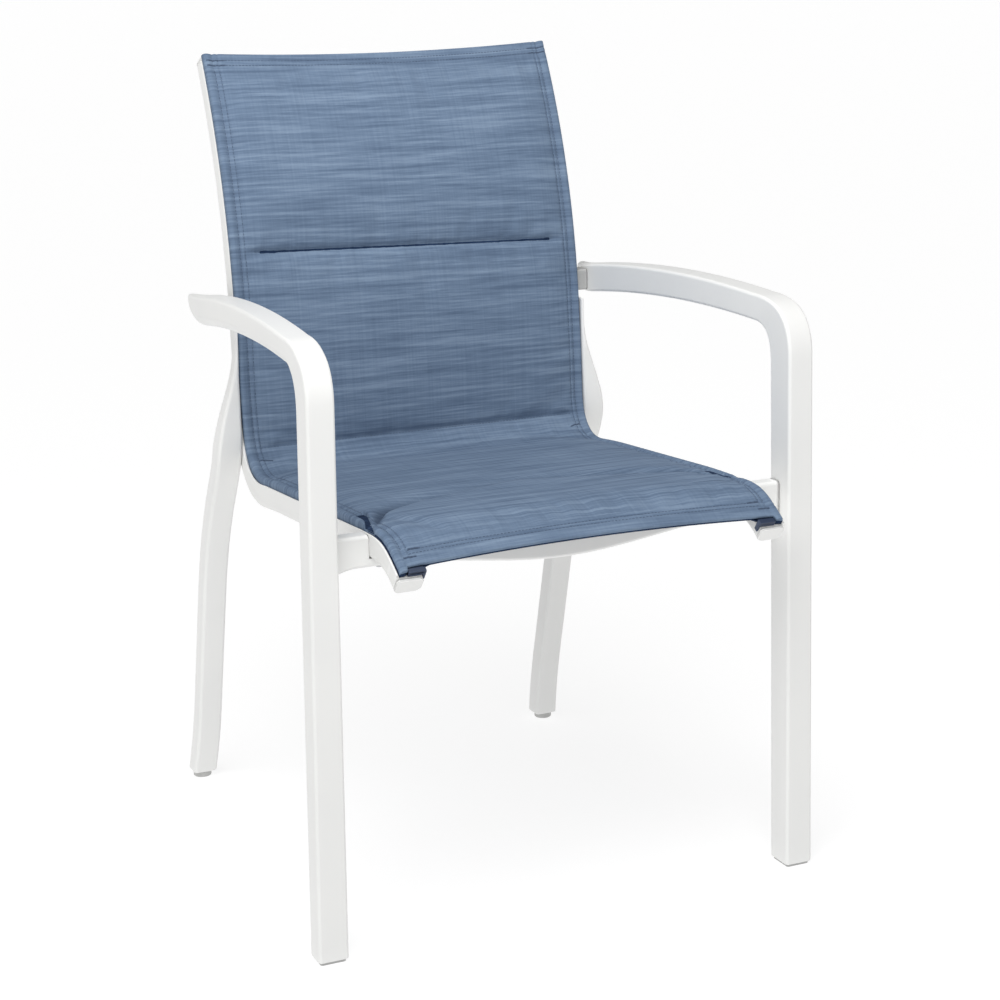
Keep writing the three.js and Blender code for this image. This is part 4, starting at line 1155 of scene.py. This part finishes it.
# Painted shade along the front roll's fold: how strongly, at each place across, the cover's colour is
# darkened where the crease falls in shadow.
PAINTED_SHADE_SHARES = (
    (0, 0.08), (65, 0.16), (100, 0.24), (132, 0.36), (153, 0.55),
    (169, 0.8), (188, 0.9), (196, 0.6), (205, 0),
)
PAINTED_SHADE_PLACE = 2.0
PAINTED_SHADE_FRONT_WIDTH, PAINTED_SHADE_REAR_WIDTH = 8.0, 12.0
GAP_INNER = 194.0
GAP_FRONT = 76.0
GAP_FRONT_SLANT = 64.0
GAP_REAR = ((GAP_INNER, 151), (204, 150), (207, 114), (SLING_HALF, 101))
GAP_EDGE = 1.5
GAP_SINK = 2.5


def read_off(table, places):
    """Values at some places, from a table of chosen places and values."""
    return np.interp(places, *zip(*table))


def hump(distance, height, width):
    """A smooth ridge along a line, or a groove where its height is below zero."""
    return height * np.exp(-((distance / width) ** 2))


def pucker(wave, away, size, reach):
    """Small waves beside a line of stitches, which holds them flat, and fading away from it."""
    return size * wave * np.exp(-away / reach) * (1 - np.exp(-away / PUCKER_START))


def fold_painted_shade(x, along):
    """How much painted shade darkens the cover's colour in the front roll's fold, from 0 to 1."""
    across = np.abs(x)
    behind = along - read_off(FOLD_LINE, across) - PAINTED_SHADE_PLACE
    width = np.where(behind > 0, PAINTED_SHADE_REAR_WIDTH, PAINTED_SHADE_FRONT_WIDTH)
    return hump(behind, read_off(PAINTED_SHADE_SHARES, across), width)


def gap_front(across):
    return GAP_FRONT + (SLING_HALF - across) / (SLING_HALF - GAP_INNER) * GAP_FRONT_SLANT


def gap_rear(across):
    return read_off(GAP_REAR, across)


def in_gap(x, along):
    """Whether a place is in the cut-out of the side sleeve beside the crossbar, from 0 to 1."""
    across = np.abs(x)
    inside = eased(across, GAP_INNER - GAP_EDGE, GAP_INNER)
    inside = inside * eased(along - gap_front(across), -GAP_EDGE, 0)
    return inside * eased(gap_rear(across) - along, -GAP_EDGE, 0)


def seam_relief(x, along):
    """Grooves and puckers that the seams, the stitched borders and the front roll draw in the cover."""
    across = np.abs(x)
    relief = hump(across - SLEEVE_RIDGE_PLACE, SLEEVE_RIDGE_HEIGHT, SLEEVE_RIDGE_WIDTH)
    behind_hem = eased(along, FRONT_HEM - HEM_FADE, FRONT_HEM)
    for line, depth, width in BORDER_GROOVES:
        relief = relief + hump(across - line, -depth, width) * between(FRONT_GROOVE_SHARE, 1, behind_hem)
    for row in HEM_STITCHES:
        relief = relief + hump(along - row, -HEM_GROOVE_DEPTH, HEM_GROOVE_WIDTH)
    # The puckers are about 12 mm apart along a seam, and uneven in their spacing and height.
    wave = np.sin(x * 0.52 + 1.4 * np.sin(x * 0.071)) * (0.6 + 0.4 * np.sin(x * 0.13 + 2.0))
    for seam, reach, depth in CROSS_SEAMS:
        away = np.abs(along - seam)
        sunk = hump(away, -depth, SEAM_WIDTH) + pucker(wave, away, SEAM_PUCKER, PUCKER_REACH)
        relief = relief + sunk * eased(reach - across, -SEAM_FADE, SEAM_FADE)
    for seam in (SLING_LENGTH - TOP_HEM, FRONT_HEM):
        relief = relief + pucker(wave, np.abs(along - seam), HEM_PUCKER, PUCKER_REACH)
    ripple = np.sin(along * 0.47 + 1.2 * np.sin(along * 0.06))
    away = np.abs(across - BORDER_STITCHES[1])
    relief = relief + pucker(ripple, away, BORDER_PUCKER, BORDER_PUCKER_REACH)
    behind = along - read_off(FOLD_LINE, across)
    width = np.where(behind > 0, FOLD_REAR_WIDTH, FOLD_FRONT_WIDTH)
    return relief + hump(behind, -read_off(FOLD_DEPTH, across), width)


def edge_fold(x, along):
    """The rounded fold along the sides and the free ends."""
    fold = 0
    gaps = (SLING_HALF - np.abs(x), along - HEM_SETBACK, SLING_LENGTH - along)
    for gap, size in zip(gaps, (SIDE_ROUND, END_ROUND, END_ROUND)):
        share = np.clip(1 - gap / size, 0, 1)
        fold = fold - size * (1 - np.sqrt(1 - share**2))
    return fold


LOWEST_PANEL, LOWEST_SLEEVE = -6.0, -1.6
LIP_TURN = 0.6
LIP_FADE = SLEEVE_FADE = 4.0
ROLL_LIP, SEAT_LIP = 2.1, 5.6
UNDER_CROWN_SHARE = 0.95
LEAST_THICKNESS = 0.2
BLOW_SPACING = 5.0
COVER_SPACING = 4.5
EDGE_STEPS = np.array([0.2, 0.6, 1.1, 1.6, 2.4])
STITCH_STEPS = np.array([-2.6, -1.5, -0.7, 0, 0.7, 1.5, 2.6])
SEAM_STEPS = np.array([-8, -5.5, -3.5, -2, -0.9, 0, 0.9, 2, 3.5, 5.5, 8])
LIP_STEPS = np.array([3.4, LIP_WIDTH, 5.5, FLAP_WIDTH - 1, FLAP_WIDTH])
GAP_ROWS = np.arange(GAP_FRONT - 2, 156, 2.0)
cover_marks_across = [-SLING_HALF, -CROWN_HALF, CROWN_HALF, SLING_HALF]
cover_marks_along = [HEM_SETBACK, FRONT_HEM, SEAT_SEAM, MID_SEAM, SLING_LENGTH - TOP_HEM, SLING_LENGTH]
blow_columns = stretches(cover_marks_across, BLOW_SPACING)
blow_rows = stretches(cover_marks_along, BLOW_SPACING)
blown = blown_heights(blow_columns, blow_rows)

half_lines = [line + STITCH_STEPS for line in BORDER_STITCHES]
half_lines += [SLING_HALF - EDGE_STEPS, SLING_HALF - LIP_STEPS, GAP_INNER - np.array([GAP_EDGE, 0])]
half_lines = np.concatenate(half_lines)
cover_columns = merged(stretches(cover_marks_across, COVER_SPACING), half_lines, -half_lines)
seam_lines = [seam + SEAM_STEPS for seam, *_ in CROSS_SEAMS]
seam_lines += [row + STITCH_STEPS for row in HEM_STITCHES]
seam_lines += [HEM_SETBACK + EDGE_STEPS, SLING_LENGTH - EDGE_STEPS, GAP_ROWS]
cover_rows = merged(stretches(cover_marks_along, COVER_SPACING), np.concatenate(seam_lines))
cover_x, cover_along = np.meshgrid(cover_columns, cover_rows)


def cover_heights():
    """Heights of the cover's face: the blown panels with their seams, on the lifted borders."""
    face = resampled(blown, blow_rows, cover_rows)
    face = resampled(face.T, blow_columns, cover_columns).T
    face = face + seam_relief(cover_x, cover_along)
    lift = sling_lift(cover_along)
    over_sleeve = eased(np.abs(cover_x), GAP_INNER - SLEEVE_FADE, GAP_INNER)
    face = np.maximum(face + lift, between(LOWEST_PANEL, LOWEST_SLEEVE, over_sleeve))
    gap = in_gap(cover_x, cover_along)
    return between(face, lift - GAP_SINK, gap) + edge_fold(cover_x, cover_along)


def cover_undersides():
    """Heights of the cover's underside, which turns down in a lip along its two sides."""
    lip_start = SLING_HALF - LIP_WIDTH
    lip = eased(np.abs(cover_x), lip_start, lip_start + LIP_TURN)
    on_seat = eased(cover_along, ROLL_LIP_END - LIP_FADE, ROLL_LIP_END)
    lip = lip * between(ROLL_LIP - sling_lift(cover_along), SEAT_LIP, on_seat)
    padding = UNDER_CROWN_SHARE * BACK_CROWN * fullness(cover_x, cover_along, BACK_HALF)
    return np.minimum(-CLOTH - padding - lip, heights - LEAST_THICKNESS)


heights = cover_heights()
undersides = cover_undersides()
# The painted shade of the front roll's fold, kept on the cover's points for its colour.
painted_shade_share = fold_painted_shade(cover_x, cover_along)
cover = cloth_piece("sling_cover", cover_x, cover_along, heights, undersides, painted_shade_share)


THREAD_PITCH = 1.25
WEAVE_RISE = 0.3
PAINTED_SHADE_TINT = (0.25, 0.27, 0.32)


def slub_weave():
    """A plain weave of uneven yarns: long pale and dark slubs across, faint warps, and painted shade
    darkening the front roll's fold.
    """
    inputs = [
        ("Threads", "NodeSocketVector", None),
        ("Painted shade", "NodeSocketFloat", 0.0),
        ("Dark yarn", "NodeSocketColor", (0.1, 0.1, 0.1, 1)),
        ("Yarn", "NodeSocketColor", (0.2, 0.2, 0.2, 1)),
        ("Pale yarn", "NodeSocketColor", (0.3, 0.3, 0.3, 1)),
    ]
    outputs = [("Colour", "NodeSocketColor"), ("Height", "NodeSocketFloat"), ("Roughness", "NodeSocketFloat")]
    tree, given, result = new_group("slub weave", inputs, outputs)

    def streaks(across, along, shift, detail):
        stretch = tree.nodes.new("ShaderNodeMapping")
        stretch.inputs["Scale"].default_value = (across, along, 1.0)
        stretch.inputs["Location"].default_value = (shift, shift * 0.37, shift)
        tree.links.new(given.outputs["Threads"], stretch.inputs["Vector"])
        return noise_node(tree, stretch.outputs["Vector"], 1.0, detail)

    slubs = streaks(13.0, 300.0, 3.1, 1.0)
    bands = streaks(5.0, 90.0, 8.9, 1.0)
    hairs = streaks(60.0, 900.0, 11.7, 1.0)
    warps = streaks(420.0, 8.0, 5.3, 1.0)
    value = math_node(tree, "MULTIPLY", slubs, 0.42)
    for part, share in ((bands, 0.32), (hairs, 0.16), (warps, 0.1)):
        value = math_node(tree, "ADD", value, math_node(tree, "MULTIPLY", part, share))
    low = mix_node(
        tree,
        ramp_node(tree, value, [(0.36, 0.0), (0.5, 1.0)]),
        given.outputs["Dark yarn"],
        given.outputs["Yarn"],
    )
    high = ramp_node(tree, value, [(0.5, 0.0), (0.66, 1.0)])
    colour = mix_node(tree, high, low, given.outputs["Pale yarn"])
    # Painted shade: the fold's mask darkens the yarn colour towards a dark tint.
    colour = mix_node(tree, given.outputs["Painted shade"], colour, PAINTED_SHADE_TINT, "MULTIPLY")
    tree.links.new(colour, result.inputs["Colour"])
    split = tree.nodes.new("ShaderNodeSeparateXYZ")
    tree.links.new(given.outputs["Threads"], split.inputs[0])
    turns = 2 * math.pi / (THREAD_PITCH * MM)
    warp = math_node(tree, "SINE", math_node(tree, "MULTIPLY", split.outputs["X"], turns))
    weft = math_node(tree, "SINE", math_node(tree, "MULTIPLY", split.outputs["Y"], turns))
    knots = math_node(tree, "MULTIPLY", warp, weft)
    raised = math_node(tree, "MULTIPLY", slubs, 2.0)
    height = math_node(tree, "ADD", math_node(tree, "MULTIPLY", knots, 0.35), raised)
    tree.links.new(height, result.inputs["Height"])
    rough = math_node(tree, "MULTIPLY_ADD", hairs, 0.2)
    rough.node.inputs[2].default_value = 0.68
    tree.links.new(rough, result.inputs["Roughness"])
    return tree


weave_group = slub_weave()


def woven(name, dark, middle, pale, bump):
    material, tree, shader = new_material(name)
    shader.inputs["Sheen Weight"].default_value = 0.02
    shader.inputs["Sheen Roughness"].default_value = 0.5
    shader.inputs["Specular IOR Level"].default_value = 0.06
    threads = tree.nodes.new("ShaderNodeAttribute")
    threads.attribute_name = "threads"
    painted_shade = tree.nodes.new("ShaderNodeAttribute")
    painted_shade.attribute_name = "painted_shade"
    weave = tree.nodes.new("ShaderNodeGroup")
    weave.node_tree = weave_group
    for label, colour in (("Dark yarn", dark), ("Yarn", middle), ("Pale yarn", pale)):
        weave.inputs[label].default_value = (*colour, 1)
    tree.links.new(threads.outputs["Vector"], weave.inputs["Threads"])
    tree.links.new(painted_shade.outputs["Fac"], weave.inputs["Painted shade"])
    surfaced(tree, shader, weave, bump, WEAVE_RISE)
    return material


blue_yarns = linear(87, 104, 127), linear(103, 121, 144), linear(123, 141, 163)
blue_weave = woven("blue slub weave", *blue_yarns, 0.35)
finished(cover, blue_weave, "sling_face", "sling_front_cloth", "seat_pad", "lower_back_pad", "upper_back_pad")


# Sleeve gaps. Beside the crossbar a piece is cut out of each side sleeve, where the cover turns
# down over the front roll, and its navy lining shows.
navy_weave = woven("navy weave", linear(24, 37, 60), linear(32, 48, 74), linear(48, 66, 94), 0.4)
LINING_GAP = 0.05
LINING_THICKNESS = 0.45
LINING_INNER, LINING_OUTER = GAP_INNER + 0.3, SLING_HALF - 0.6
LINING_COLUMNS, LINING_ROWS = 15, 22
lining_columns = np.linspace(LINING_INNER, LINING_OUTER, LINING_COLUMNS)
lining_across, lining_share = np.meshgrid(lining_columns, np.linspace(0, 1, LINING_ROWS))
lining_along = between(gap_front(lining_across), gap_rear(lining_across), lining_share)
lining_under = sling_lift(lining_along) - GAP_SINK + LINING_GAP + edge_fold(lining_across, lining_along)
for word, side in SIDES:
    grid = (side * lining_across, lining_along, lining_under + LINING_THICKNESS, lining_under)
    finished(cloth_piece(f"sleeve_lining_{word}", *grid), navy_weave, "sling_back")


# Stitching. Navy thread in two lines along each side border, in pairs along the hems, in one line
# along each cross seam, and in short bar tacks at the corners that take the strain.
STITCH_PITCH = 3.9
STITCH_LENGTH = 3.0
THREAD_RADIUS = 0.34
SEAM_THREAD_RADIUS = 0.26
TACK_RADIUS = 0.36
TACK_STEP = 0.75
CORNER_TACK_WIDTH, HEM_TACK_WIDTH = 2.4, 1.8
HEM_THREAD_INSET = 16.0
HEM_TACK_START, HEM_TACK_END = SLING_HALF - 3, SLING_HALF - 24
STITCH_RISES = ((0, -0.5), (0.14, 0.35), (0.5, 0.75), (0.86, 0.35), (1, -0.5))
STITCH_SIZES = np.array([0.5, 0.95, 1, 0.95, 0.5])
CORNER_TACKS = (
    ((182, FRONT_HEM - 2), (195, FRONT_HEM - 1)),
    ((190, FRONT_HEM - 12), (203, FRONT_HEM - 11)),
    ((187, SEAT_SEAM - 19), (201, SEAT_SEAM - 15)),
)


def height_at(x, along):
    """Height of the cover's face at any place, between the grid's own places."""
    column = np.clip(np.searchsorted(cover_columns, x) - 1, 0, len(cover_columns) - 2)
    row = np.clip(np.searchsorted(cover_rows, along) - 1, 0, len(cover_rows) - 2)
    u = (x - cover_columns[column]) / (cover_columns[column + 1] - cover_columns[column])
    v = (along - cover_rows[row]) / (cover_rows[row + 1] - cover_rows[row])
    near = between(heights[row, column], heights[row, column + 1], u)
    far = between(heights[row + 1, column], heights[row + 1, column + 1], u)
    return between(near, far, v)


def stitch(start, end, radius):
    """Rings of one stitch that comes up at one place on the cover and goes down at another."""
    places = []
    for share, rise in STITCH_RISES:
        x, along = between(start[0], end[0], share), between(start[1], end[1], share)
        places.append(cloth_place(x, along, height_at(x, along) + rise * radius))
    way = (places[-1] - places[0]) / np.linalg.norm(places[-1] - places[0])
    up = line_normal(drawn_in(*start))
    across = np.cross(way, up)
    up = np.cross(across, way)
    spokes = [math.cos(a) * across + math.sin(a) * up for a in np.linspace(0, 2 * math.pi, 6)[:-1]]
    sizes = radius * STITCH_SIZES
    return [np.array([place + spoke * size for spoke in spokes]) for place, size in zip(places, sizes)]


def stitch_line(start, end, pitch=STITCH_PITCH, length=STITCH_LENGTH, radius=THREAD_RADIUS):
    start, end = np.array(start, float), np.array(end, float)
    reach = np.linalg.norm(end - start)
    way = (end - start) / reach
    count = int(reach / pitch)
    return [stitch(start + way * i * pitch, start + way * (i * pitch + length), radius) for i in range(count)]


def bar_tack(start, end, width=CORNER_TACK_WIDTH):
    """Close zigzag stitches side by side over a short stretch."""
    start, end = np.array(start, float), np.array(end, float)
    way = (end - start) / np.linalg.norm(end - start)
    side = np.array([-way[1], way[0]]) * width / 2
    places = [start + way * step for step in np.arange(0, np.linalg.norm(end - start), TACK_STEP)]
    return [stitch(place - side, place + side + way * 0.3, TACK_RADIUS) for place in places]


sewn = []
for sign in (1, -1):
    for line in BORDER_STITCHES:
        sewn += stitch_line((sign * line, FRONT_HEM + 1), (sign * line, SLING_LENGTH - HEM_THREAD_INSET))
    for row in HEM_STITCHES[2:]:
        sewn += bar_tack((sign * HEM_TACK_START, row), (sign * HEM_TACK_END, row), HEM_TACK_WIDTH)
    for (start_x, start_along), (end_x, end_along) in CORNER_TACKS:
        sewn += bar_tack((sign * start_x, start_along), (sign * end_x, end_along))
for row in HEM_STITCHES:
    sewn += stitch_line((HEM_THREAD_INSET - SLING_HALF, row), (SLING_HALF - HEM_THREAD_INSET, row))
for seam, reach, _ in CROSS_SEAMS:
    sewn += stitch_line((-reach, seam), (reach, seam), radius=SEAM_THREAD_RADIUS)
stitching = moulded("sling_stitching", sewn)
thread_tones = linear(52, 68, 92), linear(80, 98, 124)
thread = mottled("navy thread", 0.0, 700.0, 2.0, thread_tones, (0.5, 0.7))
finished(stitching, thread, "sling_back")


# Back cloth. The plain mesh behind the padding, sewn to the cover along the borders and seams.
# It is drawn tight between the rails and lies on their tops under the flat bars.
BACK_SPACING = 6.0
ROLLED_START, ROLLED_END = 204.0, 207.0
ROLLED_RISE = 1.3
ROLLED_FADE = (ROLL_LIP_END - 5, ROLL_LIP_END - 1)
SEAT_DRAW_SHARE, ROLL_DRAW_SHARE = 0.55, 0.03
back_marks = [-SLING_HALF, -BACK_HALF, BACK_HALF, SLING_HALF]
rolled_marks = np.array([ROLLED_START, ROLLED_END])
back_columns = merged(stretches(back_marks, BACK_SPACING), -rolled_marks, rolled_marks)
back_rows = merged(stretches(cover_marks_along, BACK_SPACING), ROLLED_FADE)
back_x, back_along = np.meshgrid(back_columns, back_rows)
back_across = np.abs(back_x)
over_bar = eased(back_across, BACK_HALF, RAIL_INNER - FIT)
on_roll = 1 - eased(back_along, *ROLLED_FADE)
parting = between(CLOTH + SOFT_FIT, RAIL_TOP - SOFT_FIT - CLOTH, over_bar)
back_height = -parting - BACK_CROWN * fullness(back_x, back_along, BACK_HALF)
rolled = eased(back_across, ROLLED_START, ROLLED_END) * on_roll * (sling_lift(back_along) + ROLLED_RISE)
narrowing = between(SEAT_DRAW_SHARE, ROLL_DRAW_SHARE, on_roll)
drawn_x = back_x - np.sign(back_x) * np.maximum(0, back_across - ROLLED_START) * narrowing
back_cloth = cloth_piece("sling_back", drawn_x, back_along, back_height + rolled, back_height - CLOTH)
finished(back_cloth, navy_weave, "sling_back", "sling_back_cloth")


# Floor, light and camera. A pale floor, walls that are white low down and grey above, and soft
# light. The camera stands in front of the chair, a little to its left and above the armrests.
FLOOR_REACH = 60.0
FLOOR_TONE = 0.3
FLOOR_GLOW = 0.81
HORIZON_TONE, CEILING_TONE = (0.07, 1.0), (0.2, 0.28)
SOFTBOX_WATTS, SOFTBOX_SIZE = 12.5, 0.9
SOFTBOX_PLACE, SOFTBOX_WAY = (-0.3, -0.65, 1.7), (0.15, 0.4, -1)
SUN_STRENGTH, SUN_ANGLE = 1.15, 50.0
SUN_PLACE, SUN_WAY = (0, 0, 3), (0.6, 0.45, -0.85)
CAMERA_LENS = 80.66
CAMERA_YAW, CAMERA_TILT, CAMERA_BANK = -24.34, -14.15, -1.02
CAMERA_PLACE = (-0.9688, LEG_FRONT - 1.9615, 1.0023)

floor_mesh = bpy.data.meshes.new("floor")
floor_corners = [(x * FLOOR_REACH, y * FLOOR_REACH, 0) for x, y in ((-1, -1), (1, -1), (1, 1), (-1, 1))]
floor_mesh.from_pydata(floor_corners, [], [(0, 1, 2, 3)])
floor = in_scene("floor", floor_mesh)
floor_paint, _, floor_shader = new_material("floor paint")
floor_shader.inputs["Base Color"].default_value = (FLOOR_TONE, FLOOR_TONE, FLOOR_TONE, 1)
floor_shader.inputs["Emission Color"].default_value = (1, 1, 1, 1)
floor_shader.inputs["Emission Strength"].default_value = FLOOR_GLOW
floor_shader.inputs["Roughness"].default_value = 0.95
floor_shader.inputs["Specular IOR Level"].default_value = 0.1
floor_mesh.materials.append(floor_paint)

studio = bpy.data.worlds.new("studio")
studio.use_nodes = True
walls = studio.node_tree
wall_place = walls.nodes.new("ShaderNodeSeparateXYZ")
walls.links.new(walls.nodes.new("ShaderNodeTexCoord").outputs["Generated"], wall_place.inputs[0])
wall_tone = ramp_node(walls, wall_place.outputs["Z"], [HORIZON_TONE, CEILING_TONE])
walls.links.new(wall_tone, walls.nodes["Background"].inputs["Color"])
bpy.context.scene.world = studio
bpy.context.scene.view_settings.view_transform = "Standard"

softbox = bpy.data.lights.new("softbox", "AREA")
softbox.energy, softbox.size = SOFTBOX_WATTS, SOFTBOX_SIZE
fill = bpy.data.lights.new("fill light", "SUN")
fill.energy, fill.angle = SUN_STRENGTH, math.radians(SUN_ANGLE)
for light, place, way in ((softbox, SOFTBOX_PLACE, SOFTBOX_WAY), (fill, SUN_PLACE, SUN_WAY)):
    holder = in_scene(light.name, light)
    holder.location = place
    holder.rotation_euler = Vector(way).to_track_quat("-Z", "Y").to_euler()

camera_data = bpy.data.cameras.new("camera")
camera_data.sensor_width, camera_data.lens = 36.0, CAMERA_LENS
camera = in_scene("camera", camera_data)
yaw, tilt, bank = (math.radians(angle) for angle in (CAMERA_YAW, CAMERA_TILT, CAMERA_BANK))
camera_forward = Vector((-math.sin(yaw) * math.cos(tilt), math.cos(yaw) * math.cos(tilt), math.sin(tilt)))
level_right = Vector((math.cos(yaw), math.sin(yaw), 0))
level_up = level_right.cross(camera_forward)
camera_right = math.cos(bank) * level_right + math.sin(bank) * level_up
camera_up = -math.sin(bank) * level_right + math.cos(bank) * level_up
camera_turn = Matrix((camera_right, camera_up, -camera_forward)).transposed()
camera.matrix_world = Matrix.Translation(CAMERA_PLACE) @ camera_turn.to_4x4()
bpy.context.scene.camera = camera
